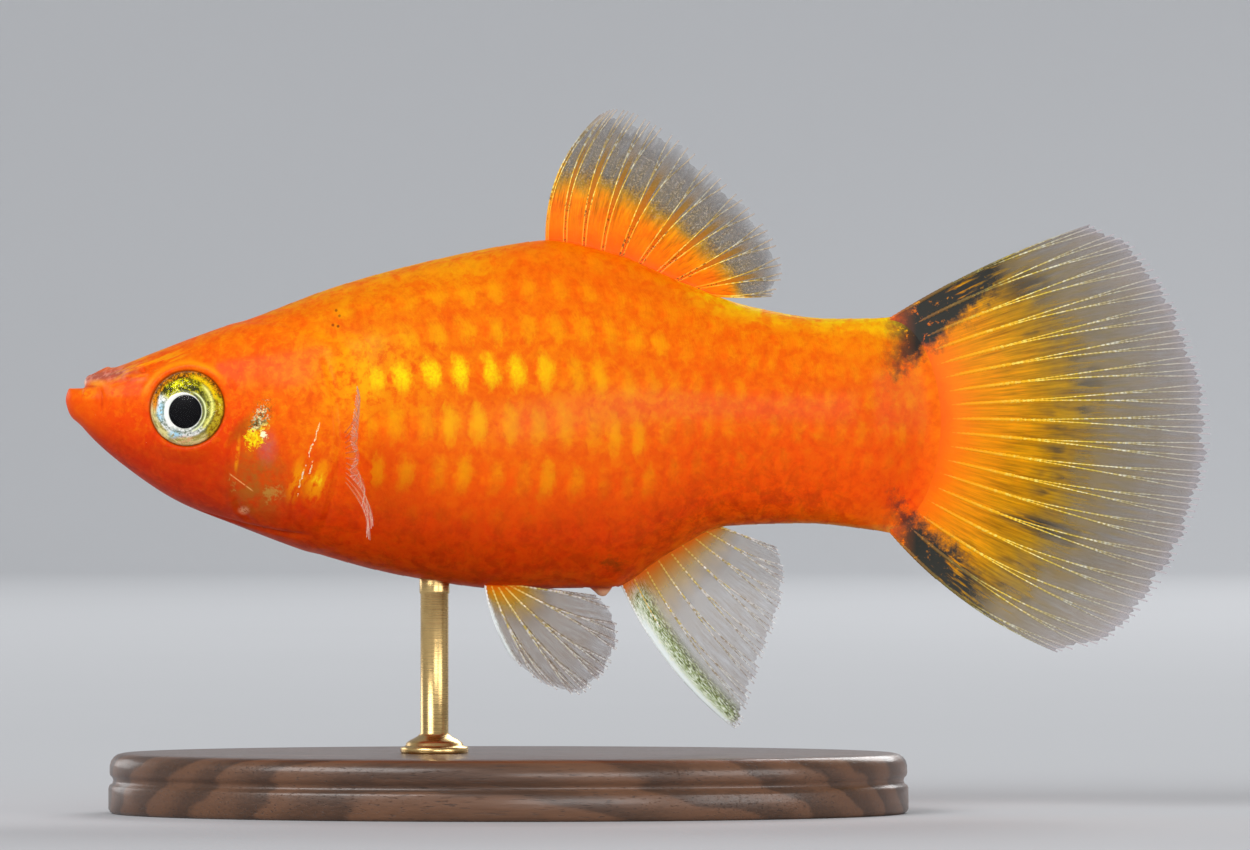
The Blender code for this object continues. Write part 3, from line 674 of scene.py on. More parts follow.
HEAD_COLOURS = (
    (0.0, (0.9, 0.2, 0.001)), (0.12, (0.94, 0.16, 0.0005)), (0.3, (1.0, 0.1, 0.0003)),
    (0.45, (0.93, 0.07, 0.0003)), (0.6, (0.83, 0.046, 0.0003)), (0.76, (0.65, 0.032, 0.0005)),
    (0.88, (0.56, 0.03, 0.001)), (1.0, (0.54, 0.035, 0.002)),
)  # fmt: skip
TORSO_COLOURS = (
    (0.0, (1.0, 0.38, 0.002)), (0.06, (1.0, 0.29, 0.001)), (0.14, (1.0, 0.2, 0.0003)),
    (0.3, (1.0, 0.23, 0.0003)), (0.5, (1.0, 0.2, 0.0003)), (0.63, (0.94, 0.1, 0.0003)),
    (0.75, (0.75, 0.045, 0.0003)), (0.87, (0.74, 0.06, 0.001)), (1.0, (0.88, 0.11, 0.003)),
)  # fmt: skip
STALK_COLOURS = (
    (0.0, (1.0, 0.66, 0.006)), (0.06, (1.0, 0.52, 0.003)), (0.14, (1.0, 0.22, 0.0003)),
    (0.4, (1.0, 0.115, 0.0003)), (0.6, (1.0, 0.09, 0.0003)), (0.84, (1.0, 0.09, 0.0003)),
    (0.95, (1.0, 0.14, 0.001)), (1.0, (0.95, 0.4, 0.06)),
)  # fmt: skip
FRECKLES = ((13.55, 5.45), (13.72, 5.18), (13.4, 4.72), (13.66, 4.66))


def comet_marks(paint):
    """The two dark marks where the tail fin starts, as a share of darkness."""
    x, z = paint.behind, paint.over
    speckle = paint.cloud(3.0, 4.0, 0.75)
    ragged = (paint.cloud(0.9, 3.0, 0.6) - 0.5) * 2.4 + (speckle - 0.5) * 2.4
    # Both marks lean out to the rear with the edges of the fin
    front = paint.smooth(x + ragged * 0.7, 40.5, 42.2)
    high = paint.smooth(z + ragged - (x - 42.5) * 0.75, 2.5, 4.0) * paint.smooth(x + ragged * 0.5, 48.0, 46.2)
    low = paint.smooth(z - ragged + (x - 42.0) * 0.8, -3.9, -5.2) * paint.smooth(x + ragged * 0.5, 47.0, 45.0)
    both = paint.math("MINIMUM", high + low, 1.0) * front
    return both * paint.smooth(speckle, 0.28, 0.42) * paint.span(x, 40.5, 42.5, 0.6, 1.0)


def paint_body(paint):
    """The markings that the skin and the scales share."""
    x, z = paint.behind, paint.over
    belt = paint.number("belt")
    sway = (paint.cloud(0.35, 3.0) - 0.5) * 0.16
    level = belt + sway
    to_torso = paint.smooth(x, 8.5, 14.0)
    paint.colour = paint.mix(to_torso, paint.ramp(level, HEAD_COLOURS), paint.ramp(level, TORSO_COLOURS))
    paint.lay(paint.smooth(x, 26.0, 33.0), paint.ramp(belt + sway * 0.3, STALK_COLOURS))
    high = paint.smooth(belt, 0.8, 0.45)
    trunk = paint.within(x, 7.0, 12.0, 27.0, 36.0)
    clouds = paint.smooth(paint.cloud(0.6, 5.0, 0.7, 0.6), 0.46, 0.62)
    paint.lay(clouds * high * paint.span(trunk, 0.0, 1.0, 0.16, 0.45), (1.0, 0.34, 0.001))
    patches = paint.smooth(paint.cloud(0.9, 5.0, 0.66, 0.9), 0.45, 0.6)
    patch_red = paint.mix(belt, (1.0, 0.09, 0.0005), (0.72, 0.045, 0.0005))
    paint.lay(patches * paint.span(x, 37.0, 43.0, 0.55, 0.2), patch_red)
    dapple = paint.smooth(paint.cloud(2.4, 4.0, 0.7, 0.6), 0.49, 0.62)
    paint.lay(dapple * high * paint.span(trunk, 0.0, 1.0, 0.24, 0.35), (1.0, 0.3, 0.001))
    saddle = paint.smooth(belt, 0.26, 0.12) * paint.within(x, 20.5, 23.0, 29.5, 32.5)
    paint.lay(saddle * 0.7, (1.0, 0.13, 0.0003))
    paint.lay(paint.smooth(x, 42.2, 43.9) * 0.75, (1.0, 0.17, 0.0005))
    mottle = paint.smooth(paint.cloud(1.3, 5.0, 0.68, 0.3), 0.42, 0.64)
    mottle = mottle * paint.smooth(belt, 0.55, 0.88) * paint.smooth(x, 42.0, 35.0)
    paint.lay(mottle * 0.5, (0.42, 0.024, 0.001))
    fine = paint.cloud(2.3, 5.0, 0.66)
    shades = ((0.3, (0.9, 0.68, 0.9)), (0.5, (1.0, 1.0, 1.0)), (0.7, (1.0, 1.3, 1.0)))
    paint.lay(1.0, paint.ramp(fine, shades), "MULTIPLY")
    glow = paint.oval(x, belt, (15.9, 0.36), (2.2, 0.1), 0.9) * paint.smooth(fine, 0.38, 0.56)
    paint.lay(glow * 0.7, (1.0, 0.5, 0.001))
    dots = [paint.oval(x, z, at, (0.065, 0.065), 0.6) for at in FRECKLES]
    paint.lay(sum(dots[1:], dots[0]) * 0.85, (0.12, 0.012, 0.003))
    smudge = (paint.cloud(2.4, 4.0, 0.75) - 0.5) * 2.6
    spot = paint.oval(x, z, (27.25, -7.15), (0.62, 0.36), 1.0)
    spot = paint.smooth(spot + smudge * paint.smooth(spot, 0.0, 0.4), 0.2, 1.2)
    paint.lay(spot * 0.6, (0.14, 0.04, 0.004))


def flesh(paint, shine, height, depth):
    """Wet, slightly translucent fish skin: nearly no haze, and a thin clear gloss over it."""
    return paint.done(
        Metallic=shine * 0.75, Roughness=0.5, Specular_IOR_Level=0.05, Subsurface_Weight=0.1,
        Subsurface_Scale=0.0006, Subsurface_Radius=(1.0, 0.3, 0.08), Coat_Weight=0.07, Coat_Roughness=0.16,
        Normal=paint.relief(height, depth),
    )  # fmt: skip


def paint_snout(paint, fine):
    """Bright jaw with two yellow flecks, mauve upper lip with pale folds, yellow corner of the mouth; a
    painted highlight on the lower lip, and painted shade in the mouth's cleft and in the fold at its corner.
    """
    x, z = paint.behind, paint.over
    jaw = paint.smooth(x, 3.6, 0.8) * paint.smooth(z, -1.6, 0.2)
    paint.lay(jaw * 0.5, (1.0, 0.12, 0.001))
    fleck = paint.oval(x, z, (1.15, 1.33), (0.4, 0.3), 0.8)
    fleck = fleck + paint.oval(x, z, (2.5, 1.35), (0.3, 0.25), 0.8) * 0.7
    paint.lay(fleck * paint.smooth(fine, 0.36, 0.56) * 0.75, (1.0, 0.3, 0.002))
    pad = paint.bump_at(z - x * 0.17, 1.88, 0.34) * paint.within(x, 0.85, 1.05, 2.6, 4.2)
    folds = paint.noise(paint.joined(x * 2.6 - z * 2.4, z * 1.6 + x * 0.5), 1.0, 3.0, 0.65)
    pink = paint.mix(paint.smooth(folds, 0.44, 0.6), (0.43, 0.11, 0.075), (0.66, 0.26, 0.19))
    paint.lay(pad * 0.92, pink)
    folds = ((3.6, 2.02, 0.6, (0.85, 0.16, 0.07)), (3.55, 2.2, 0.7, (1.0, 0.26, 0.001)))
    for at, height, share, colour in folds:
        ridge = paint.bump_at(z, height, 0.1) * paint.oval(x, z, (at, height), (0.5, 0.3), 0.7)
        paint.lay(ridge * share, colour)
    # Cream on the lips: a painted highlight along the top edge of the lower lip, and a whitish edge where the
    # upper lip starts
    rim = paint.oval(x, z, (0.34, 1.66), (0.26, 0.08), 0.7)
    rim = rim + paint.oval(x, z, (0.96, 1.88), (0.08, 0.18), 0.7)
    paint.lay(rim * 0.85, (1.0, 0.68, 0.5))
    paint.lay(paint.oval(x, z, (1.62, 1.82), (0.36, 0.16), 0.8) * 0.7, (1.0, 0.36, 0.02))
    # Painted shade in the cleft between the lips
    mouth_cleft_shade = paint.bump_at(z, 1.68, 0.05) * paint.within(x, 0.8, 0.95, 1.3, 1.9)
    paint.lay(mouth_cleft_shade * 0.5, (0.5, 0.04, 0.01))
    # Painted shade in the fold behind the corner of the mouth
    fold = paint.bump_at(x, 1.87, 0.07) * paint.within(z, 0.4, 0.8, 1.4, 1.6)
    paint.lay(fold * 0.4, (0.6, 0.03, 0.001))


def paint_brow(paint):
    """Painted highlights on the brow and on wet folds up the snout, painted shade in the grooves between the
    folds and under the eye, and a brown line of painted shade in the groove round the eyeball.
    """
    x, z = paint.behind, paint.over
    a, b = x - EYE_AT[0], z - EYE_AT[1]
    to_eye = paint.length(a, b)
    # Painted highlight on the upper side of the brow's ridge
    brow = paint.bump_at(to_eye, EYE_RADIUS + 0.38, 0.14) * paint.smooth(b - a * 0.2, 0.6, 1.6)
    # Painted highlights on wet folds up the snout, with painted shade in the grooves between them
    up_the_snout = paint.joined((x + z * 0.45) * 0.5, (z - x * 0.4) * 4.0)
    streaks = paint.noise(up_the_snout, 1.0, 3.0, 0.6)
    near = paint.oval(x, z - x * 0.3, (4.2, 1.5), (1.8, 0.6), 0.6)
    paint.lay(near * paint.smooth(streaks, 0.47, 0.38) * 0.5, (0.8, 0.07, 0.002))
    bright = paint.math("MAXIMUM", brow * 0.6, near * paint.smooth(streaks, 0.5, 0.62) * 0.8)
    paint.lay(bright, (1.0, 0.38, 0.002))
    # Painted shade under the eye
    paint.lay(paint.oval(x, z, (6.6, -2.2), (2.3, 0.9), 0.7) * 0.3, (0.55, 0.025, 0.001))
    # Painted shade in the groove where the skin dips round the eyeball
    line = paint.smooth(to_eye, EYE_RADIUS + 0.07, EYE_RADIUS - 0.02)
    paint.lay(line * 0.6, (0.34, 0.07, 0.004))


def paint_gill_cover(paint, fine, coarse, glitter):
    """Brown and violet skin with moss-green mottling."""
    x, z = paint.behind, paint.over
    mud = paint.oval(x, z, (9.7, -3.1), (1.3, 1.5), 0.7)
    paint.lay(mud * paint.span(coarse, 0.38, 0.6, 0.2, 0.9), (0.46, 0.13, 0.012))
    moss = paint.oval(x, z, (10.4, -3.6), (0.5, 0.6), 0.9)
    moss = moss + paint.oval(x, z, (8.5, -3.1), (0.3, 0.5), 0.9) * 0.6
    tufts = paint.smooth(moss * 0.5 + (glitter - 0.5) * 1.2 + (coarse - 0.5) * 1.6, 0.3, 0.6)
    paint.lay(tufts * paint.smooth(moss, 0.0, 0.3) * 0.55, (0.58, 0.33, 0.06))
    violet = paint.oval(x, z, (10.15, -1.35), (0.38, 0.65), 0.9) * paint.span(fine, 0.35, 0.6, 0.4, 1.0)
    paint.lay(violet * 0.65, (0.55, 0.14, 0.12))
    pale = paint.oval(x, z, (8.95, -4.5), (0.22, 0.16), 0.8) * paint.smooth(glitter, 0.4, 0.5)
    paint.lay(pale * 0.6, (0.95, 0.5, 0.25))
    shadow = paint.oval(x - z * 0.6, z, (9.15, -0.5), (0.36, 0.6), 0.7)
    paint.lay(shadow * 0.6, (0.34, 0.07, 0.002))


def paint_wedge(paint, fine, coarse, glitter):
    """A wedge of silver, dark and yellow grains, with a painted white highlight at its brightest; gives back
    how it shines.
    """
    x, z = paint.behind, paint.over
    wedge = paint.oval(x - (z + 0.3) * 0.3, z, (9.72, -0.3), (0.48, 1.05), 0.8)
    paint.lay(wedge * 0.5, (0.72, 0.22, 0.003))
    grains = paint.smooth(wedge + (glitter - 0.5) * 3.4, 0.68, 0.84) * paint.smooth(wedge, 0.0, 0.25)
    upper = paint.smooth(z + (x - 9.75) * -0.9 + (coarse - 0.5) * 1.2, -0.75, -0.3)
    metal = paint.mix(paint.smooth(fine, 0.44, 0.56), (0.2, 0.16, 0.05), (0.85, 0.82, 0.45))
    paint.lay(grains * 0.95, paint.mix(upper, (1.0, 0.66, 0.002), metal))
    pits = paint.smooth(paint.cloud(8.5, 2.0, 0.8), 0.53, 0.59) * wedge * upper
    paint.lay(pits * 0.85, (0.07, 0.045, 0.01))
    gold = paint.oval(x, z, (9.55, -0.9), (0.55, 0.5), 0.8)
    gold = paint.smooth(gold + (glitter - 0.5) * 2.8, 0.6, 0.8) * paint.smooth(gold, 0.0, 0.2)
    yellow = paint.mix(paint.smooth(fine, 0.42, 0.55), (0.95, 0.45, 0.002), (1.0, 0.8, 0.006))
    paint.lay(gold * 0.97, yellow)
    # A painted highlight: the white spot where the shining patch is brightest
    core = paint.smooth(paint.oval(x, z, (9.98, -0.72), (0.2, 0.26), 0.9) + (glitter - 0.5) * 2.6, 0.65, 0.85)
    paint.lay(core, (1.0, 1.0, 0.6))
    edge = paint.oval(x - z * 0.12, z, (8.88, -1.7), (0.09, 0.7), 0.8) * paint.smooth(coarse, 0.4, 0.55)
    paint.lay(edge * 0.8, (1.0, 0.36, 0.003))
    return grains * upper + core


def paint_gill_line(paint, coarse, glitter):
    """Yellow glow and a broken shining line before the gill cover's edge; gives back how it shines."""
    x, z = paint.behind, paint.over
    hang = paint.noise(paint.joined(x * 1.7 - z * 0.6, z * 0.8), 1.0, 4.0, 0.7)
    lean = x - (z + 3.0) * 0.25
    glow = paint.oval(lean, z, (12.65, -3.0), (0.5, 0.8), 0.9)
    glow = glow + paint.oval(lean, z, (11.6, -2.9), (0.3, 0.9), 0.9) * 0.8
    glow = glow * paint.smooth(hang, 0.4, 0.56)
    paint.lay(glow * 0.85, (1.0, 0.4, 0.002))
    paint.lay(paint.smooth(glow * hang, 0.5, 0.6) * 0.8, (1.0, 0.68, 0.01))
    slant = (x - 12.3) - (z + 1.6) * 0.32 + (coarse - 0.5) * 0.7
    thin = paint.bump_at(slant, 0.0, 0.045) * paint.within(z, -4.0, -3.6, -0.3, 0.0)
    thin = thin + paint.bump_at(slant, 0.28, 0.04) * paint.within(z, -2.8, -2.5, -2.2, -1.9)
    breaks = paint.noise(paint.joined(x * 4.0, z * 2.4), 1.0, 2.0, 0.7)
    dashes = paint.smooth(thin * paint.smooth(breaks, 0.4, 0.5), 0.3, 0.5)
    tint = paint.mix(paint.smooth(glitter, 0.44, 0.56), (1.0, 0.5, 0.08), (1.0, 0.85, 0.6))
    paint.lay(dashes * 0.95, tint)
    scratch = paint.bump_at(z, (x - 8.3) * -0.73 - 2.7, 0.035) * paint.within(x, 8.2, 8.4, 9.3, 9.5)
    paint.lay(scratch * paint.smooth(glitter, 0.35, 0.5) * 0.8, (1.0, 0.5, 0.15))
    return dashes


def skin_material():
    """Bare skin, with what only the head shows: lips, brow, gill cover and its shining patch."""
    paint = Paint("wet orange skin")
    paint_body(paint)
    fine, coarse = paint.cloud(3.2, 5.0, 0.7), paint.cloud(1.4, 4.0, 0.65)
    glitter = paint.cloud(7.0, 3.0, 0.8)
    paint_snout(paint, fine)
    paint_brow(paint)
    paint_gill_cover(paint, fine, coarse, glitter)
    shine = paint_wedge(paint, fine, coarse, glitter) + paint_gill_line(paint, coarse, glitter)
    paint.lay(comet_marks(paint), tuple(bpy.context.scene.platy_skin.comet))
    papilla = paint.oval(paint.behind, paint.side, (VENT_AT - 0.1, 0.0), (0.62, 0.45), 0.7)
    paint.lay(papilla * paint.smooth(paint.over, -8.3, -8.6) * 0.85, (1.0, 0.6, 0.36))
    return flesh(paint, paint.math("MINIMUM", shine, 1.0) * 0.35, fine * 0.6 + coarse, 0.03)


def scale_material():
    """Scales: the skin's markings, with a bright blotch on each scale and a redder seam between them."""
    paint = Paint("orange and gold scales")
    skin = bpy.context.scene.platy_skin
    x = paint.behind
    a, b, belt = paint.number("plate_a"), paint.number("plate_b"), paint.number("belt")
    chance, grown_up = paint.number("chance"), paint.number("grown")
    paint_body(paint)
    ragged = (paint.noise(paint.stretched(paint.where, (2.6, 2.6, 1.5)), 1.0, 5.0, 0.75) - 0.5) * 2.6
    u, v = (a - 0.38 + (chance - 0.5) * 0.3) / 0.32, b / 0.36
    from_middle = paint.length(u, v) + ragged
    blotch = paint.smooth(from_middle, 1.8, 0.2) * grown_up
    strength = paint.smooth(belt, 0.78, 0.55) * paint.span(x, 24.0, 32.0, 0.85, 0.25)
    strength = strength * paint.span(chance, 0.0, 1.0, 0.25, 1.1) * paint.span(belt, 0.12, 0.3, 0.35, 1.0)
    seam = (1.0 - blotch) * paint.within(belt, 0.08, 0.25, 0.66, 0.86) * grown_up
    paint.lay(seam * paint.span(x, 24.0, 40.0, 0.4, 0.15), tuple(skin.red))
    paint.lay(blotch * strength, (1.0, 0.4, 0.001))
    row = paint.bump_at(belt, 0.37, 0.06) * paint.within(x, 14.2, 16.0, 19.5, 27.0)
    row = row * paint.span(chance, 0.0, 1.0, 0.7, 1.1)
    sparks = paint.smooth(paint.cloud(6.0, 3.0, 0.8), 0.38, 0.58)
    bright = paint.smooth(from_middle, 1.6, 0.4) * paint.math("MINIMUM", row, 1.0)
    paint.lay(bright * paint.span(sparks, 0.0, 1.0, 0.5, 1.0), tuple(skin.gold))
    paint.lay(comet_marks(paint), tuple(skin.comet))
    fine = paint.cloud(3.2, 5.0, 0.7)
    rings = paint.math("SINE", (a + abs(b) ** 2.0 * 0.5) * 42.0)
    return flesh(paint, bright * 0.08, rings * 0.05 + fine, 0.02)


def make_skin():
    """One closed skin over head and body, with the head's forms worked into it."""
    depth = bpy.context.scene.platy_skin.coat_depth / MM
    joint = CUT_STATIONS[1]
    head = joint * (np.arange(1, HEAD_RINGS + 1) / HEAD_RINGS) ** 1.4
    body = np.linspace(joint, SKIN_END, BODY_RINGS + 1)[1:]
    stations = np.concatenate([head, body])
    turns = 2 * np.pi * np.arange(RING_POINTS) / RING_POINTS
    station, turn = np.meshgrid(stations, turns, indexing="ij")
    points = plain_skin(station, turn)
    belt = belt_of(points)
    normal = plain_normal(station, turn)
    out = relief(*np.moveaxis(points, -1, 0)) - depth * coat_share(points[..., 0], belt, station)
    points = with_sockets(points + normal * out[..., None])
    last = len(stations) - 1
    n = RING_POINTS
    faces = grid_faces(len(stations), n, closed=True)
    tip = len(stations) * n
    faces += [(tip, (j + 1) % n, j) for j in range(n)]
    faces += [(tip + 1, last * n + j, last * n + (j + 1) % n) for j in range(n)]
    ends = [(0.0, 0.0, BACK[0][1]), points[last].mean(0)]
    every = np.concatenate([points.reshape(-1, 3), ends])
    skin = outward(mesh_object("skin", placed(every), faces))
    number_on_points(skin, "belt", np.concatenate([belt.ravel(), [0.3, 0.5]]))
    return skin


def make_bed():
    """The surface that the scales lie on, mapped by column and row; it runs on past the belly's middle."""
    depth = bpy.context.scene.platy_skin.coat_depth / MM
    columns = np.arange(-1.0, COLUMN_COUNT + 2.001, 0.25)
    rows = np.arange(-1.0, ROW_COUNT + 1.001, 0.2)
    half = ROW_COUNT / 2
    fine = np.linspace(0, np.pi, 361)
    turns = np.zeros((len(columns), len(rows)))
    belts = np.zeros_like(turns)
    stations = column_place(columns)
    from_back = np.abs(rows - half)
    past = from_back > half
    index = np.where(past, 2 * half - from_back, from_back)
    for i, station in enumerate(stations):
        arc = plain_skin(np.full(fine.shape, station), fine)
        run = np.concatenate([[0], np.cumsum(np.linalg.norm(np.diff(arc, axis=0), axis=1))])
        rear = smooth(station, 20.0, 30.0)
        share = rows_front(index) * (1 - rear) + rows_rear(index) * rear
        turn = np.interp(share, run / run[-1], fine)
        turns[i] = np.where(past, 2 * np.pi - turn, turn) * np.where(rows < half, 1, -1)
        belts[i] = share
    station = np.repeat(stations[:, None], len(rows), 1)
    points = plain_skin(station, turns)
    normal = plain_normal(station, turns)
    points = points - normal * (depth * coat_share(points[..., 0], belts, station))[..., None]
    x, to_belly = points[..., 0], half - from_back
    bare = x < scaled_from(belts) + 0.35
    bare |= (from_back < 0.5) & (x > DORSAL["root"][0] - 0.5) & (x < DORSAL["root"][1] + 0.1)
    bare |= (to_belly < 0.5) & (x > VENT_AT - 1.2) & (x < ANAL["root"][1] + 0.2)
    bare |= (to_belly < 1.3) & (np.abs(x - VENT_AT - 0.1) < 0.75)
    bare |= station > SCALES_END
    bed = mesh_object("bed", placed(points), grid_faces(len(columns), len(rows)))
    if np.mean([p.normal.y * p.center.y for p in bed.data.polygons]) < 0:
        bed.data.flip_normals()
    column, row = np.meshgrid(columns, rows, indexing="ij")
    place = stack((column + 1) / (COLUMN_COUNT + 3), (row + 1) / (ROW_COUNT + 2), 0.0)
    vector_on_points(bed, "bed_place", place)
    number_on_points(bed, "belt", belts)
    number_on_points(bed, "scaled", 1.0 - bare)
    number_on_points(bed, "grown", smooth(x - scaled_from(belts), -0.3, 2.2) * smooth(station, 44.0, 42.2))
    return bed


def new_tree(name, inputs):
    """An empty Geometry Nodes tree with named inputs after its geometry."""
    tree = bpy.data.node_groups.new(name, "GeometryNodeTree")
    tree.interface.new_socket("Geometry", in_out="INPUT", socket_type="NodeSocketGeometry")
    tree.interface.new_socket("Geometry", in_out="OUTPUT", socket_type="NodeSocketGeometry")
    for label, kind, value in inputs:
        socket = tree.interface.new_socket(label, in_out="INPUT", socket_type=kind)
        if value is not None:
            socket.default_value = value
    net = Net(tree)
    source = net.node("NodeGroupInput")
    given = {s.name: Term(net, s) for s in source.outputs if s.name}
    return net, given


def named(net, name, kind="FLOAT"):
    return net.term("GeometryNodeInputNamedAttribute", {0: name}, data_type=kind)


def kept(net, geometry, name, value, kind="FLOAT", domain="POINT"):
    feeds = {"Geometry": geometry, "Name": name, "Value": value}
    return net.term("GeometryNodeStoreNamedAttribute", feeds, data_type=kind, domain=domain)


def close_tree(net, geometry, material):
    """Ends a tree: real meshes, smooth shaded, in their material."""
    real = net.term("GeometryNodeRealizeInstances", {"Geometry": geometry})
    soft = net.term("GeometryNodeSetShadeSmooth", {"Geometry": real, "Shade Smooth": True})
    done = net.term("GeometryNodeSetMaterial", {"Geometry": soft, "Material": material})
    net.tree.links.new(done.socket, net.node("NodeGroupOutput").inputs[0])


def grown(name, base, net, values, material):
    """The plain mesh that a tree grows from a base object, which is then removed."""
    modifier = base.modifiers.new("grow", "NODES")
    modifier.node_group = net.tree
    for item in net.tree.interface.items_tree:
        if item.in_out == "INPUT" and item.name in values:
            modifier[item.identifier] = values[item.name]
    graph = bpy.context.evaluated_depsgraph_get()
    live = base.evaluated_get(graph)
    mesh = bpy.data.meshes.new_from_object(live, preserve_all_data_layers=True, depsgraph=graph)
    mesh.name = name
    modifier.node_group = None
    base.modifiers.clear()
    bpy.data.objects.remove(base)
    mesh.materials.clear()
    mesh.materials.append(material)
    return link(bpy.data.objects.new(name, mesh))


SCALE_TREE_INPUTS = (
    ("Columns", "NodeSocketInt", COLUMN_COUNT), ("Rows", "NodeSocketInt", ROW_COUNT),
    ("Lift", "NodeSocketFloat", SCALE_LIFT * MM), ("Half length", "NodeSocketFloat", 0.78),
    ("Half height", "NodeSocketFloat", 0.86), ("Seed", "NodeSocketInt", 7),
    ("Material", "NodeSocketMaterial", None),
)  # fmt: skip


def on_bed(net, given, value, column, row, kind="FLOAT"):
    """What the bed has at a column and row."""
    at = net.joined((column + 1.0) / (given["Columns"] + 3.0), (row + 1.0) / (given["Rows"] + 2.0))
    feeds = {0: given["Geometry"], 1: value, 2: named(net, "bed_place", "FLOAT_VECTOR"), 3: at}
    return net.term("GeometryNodeSampleUVSurface", feeds, data_type=kind)


def scale_points(net, given):
    """A point for each scale, in staggered rows, with its column, its row and a chance number."""
    columns, rows = given["Columns"], given["Rows"]
    feeds = {"Size X": columns - 1.0, "Size Y": rows - 1.0, "Vertices X": columns, "Vertices Y": rows}
    lattice = net.term("GeometryNodeMeshGrid", feeds)
    here = net.split(net.term("GeometryNodeInputPosition"))
    row = net.math("ROUND", here[1] + (rows - 1.0) * 0.5)
    odd = net.math("MODULO", row, 2.0)
    column = net.math("ROUND", here[0] + (columns - 1.0) * 0.5) + odd * 0.5
    feeds = {"Geometry": lattice, "Position": net.joined(column, row)}
    points = net.term("GeometryNodeSetPosition", feeds)
    scaled = on_bed(net, given, named(net, "scaled"), here[0], here[1])
    feeds = {"Geometry": points, "Selection": net.math("LESS_THAN", scaled, 0.5)}
    points = net.term("GeometryNodeDeleteGeometry", feeds, domain="POINT")
    chance = net.term("FunctionNodeRandomValue", {"Seed": given["Seed"]}, out=1)
    points = kept(net, points, "chance", chance)
    points = kept(net, points, "column", here[0])
    return kept(net, points, "row", here[1])


def scale_plates(net, points):
    """A flat plate with a grid from -1 to 1 at each point."""
    feeds = {"Size X": 2.0, "Size Y": 2.0, "Vertices X": 7, "Vertices Y": 13}
    plate = net.term("GeometryNodeMeshGrid", feeds)
    here = net.split(net.term("GeometryNodeInputPosition"))
    plate = kept(net, plate, "grid_a", here[0])
    plate = kept(net, plate, "grid_b", here[1])
    laid = net.term("GeometryNodeInstanceOnPoints", {"Points": points, "Instance": plate})
    return net.term("GeometryNodeRealizeInstances", {"Geometry": laid})


def scale_tree():
    """Lays round scales in staggered rows over the bed, each one over the roots of those behind it."""
    net, given = new_tree("platy scales", SCALE_TREE_INPUTS)
    laid = scale_plates(net, scale_points(net, given))

    # Close rows of points round the edge
    a, b = named(net, "grid_a"), named(net, "grid_b")
    plate_a = 1.0 - (1.0 - (a + 1.0) * 0.5) ** 2.0 * 2.0
    plate_b = net.math("SINE", b * (math.pi / 2))
    length, height = given["Half length"], given["Half height"]
    root = abs(plate_b) ** 2.5 * length * 0.35 - length
    rear = length - abs(plate_b) ** 2.5 * length * 0.8
    along = root + (rear - root) * (plate_a + 1.0) * 0.5
    up = plate_b * height
    k, r = named(net, "column") + along, named(net, "row") + up
    rise = (along + length) / (length * 2.0) * given["Lift"]
    grown_up = on_bed(net, given, named(net, "grown"), k, r)
    rise = rise * grown_up - (1.0 - grown_up) * 0.03 * MM
    normal = on_bed(net, given, net.term("GeometryNodeInputNormal"), k, r, "FLOAT_VECTOR")
    spot = on_bed(net, given, net.term("GeometryNodeInputPosition"), k, r, "FLOAT_VECTOR")
    shift = net.term("ShaderNodeVectorMath", {0: normal, "Scale": rise}, operation="SCALE")
    belt = on_bed(net, given, named(net, "belt"), k, r)
    for name, value in (("belt", belt), ("grown", grown_up), ("plate_a", plate_a), ("plate_b", plate_b)):
        laid = kept(net, laid, name, value)
    # Each scale has its own cell of the map for baking
    u = (named(net, "column") + 0.5 + a * 0.46) / (given["Columns"] + 1.0)
    v = (named(net, "row") + 0.5 + b * 0.46) / given["Rows"]
    laid = kept(net, laid, "OFBake", net.joined(u, v), "FLOAT2", "CORNER")
    laid = net.term("GeometryNodeSetPosition", {"Geometry": laid, "Position": spot, "Offset": shift})
    laid = net.term("GeometryNodeFlipFaces", {"Mesh": laid})
    close_tree(net, laid, given["Material"])
    return net


def in_middle_plane(length, angle):
    """Steps of that length in side view, by the angle over straight back."""
    turn = np.radians(angle)
    return np.stack([np.cos(turn), np.zeros_like(turn), np.sin(turn)], -1) * length[..., None]


def fan_blade(sizes, root, lay):
    """A function that gives a fin's middle surface by the shares of the way across and along it."""
    angle, length, bow = (curve_through(sizes[k]) for k in ("angle", "length", "bow"))

    def point(across, along):
        t = np.clip(across, -0.01, 1.01)
        tip, side = lay(length(t), angle(t)), lay(length(t), angle(t) + 90)
        swell = bow(t) * 4 * along * (1 - along)
        points = root(t) + tip * along[..., None] + side * swell[..., None]
        if "ripple" in sizes:
            height, waves, start = sizes["ripple"]
            wave = np.sin(2 * np.pi * waves * across + start)
            points[..., 1] += height * wave * np.maximum(along, 0) ** 1.6
        points[..., 2] += sizes["sink"] * np.clip(1 - along, 0, 1)
        return points

    return point


def between(pair, t):
    return pair[0] + (pair[1] - pair[0]) * t


def stack(x, y, z):
    return np.stack(np.broadcast_arrays(x, y, z), -1)


def dorsal_root(t):
    x = between(DORSAL["root"], t)
    return stack(x, 0.0, back(x) + GAP)


def tail_root(t):
    z = between(CAUDAL["root"], t)
    return stack(TAIL_CUT - TAIL_BEND * (z - TAIL_MIDDLE) ** 2 + GAP, 0.0, z)


def anal_root(t):
    x = between(ANAL["root"], t)
    return stack(x, 0.0, belly(x) - GAP)


def pelvic_blade(side):
    splay = math.radians(PELVIC["splay"])

    def lay(length, angle):
        turn = np.radians(angle)
        down = np.sin(turn) * length
        return np.stack([np.cos(turn) * length, -side * math.tan(splay) * down, down], -1)

    def root(t):
        x, y = between(PELVIC["root"], t), PELVIC["off_middle"]
        middle, power = widest_at(x), square_belly(x)
        share = (1 - (y / half_width(x)) ** power) ** (1 / power)
        z = middle - (middle - belly(x)) * share - GAP - SOLID_FIN / 2 * math.sin(splay)
        return stack(x, side * y, z)

    return fan_blade(PELVIC, root, lay)


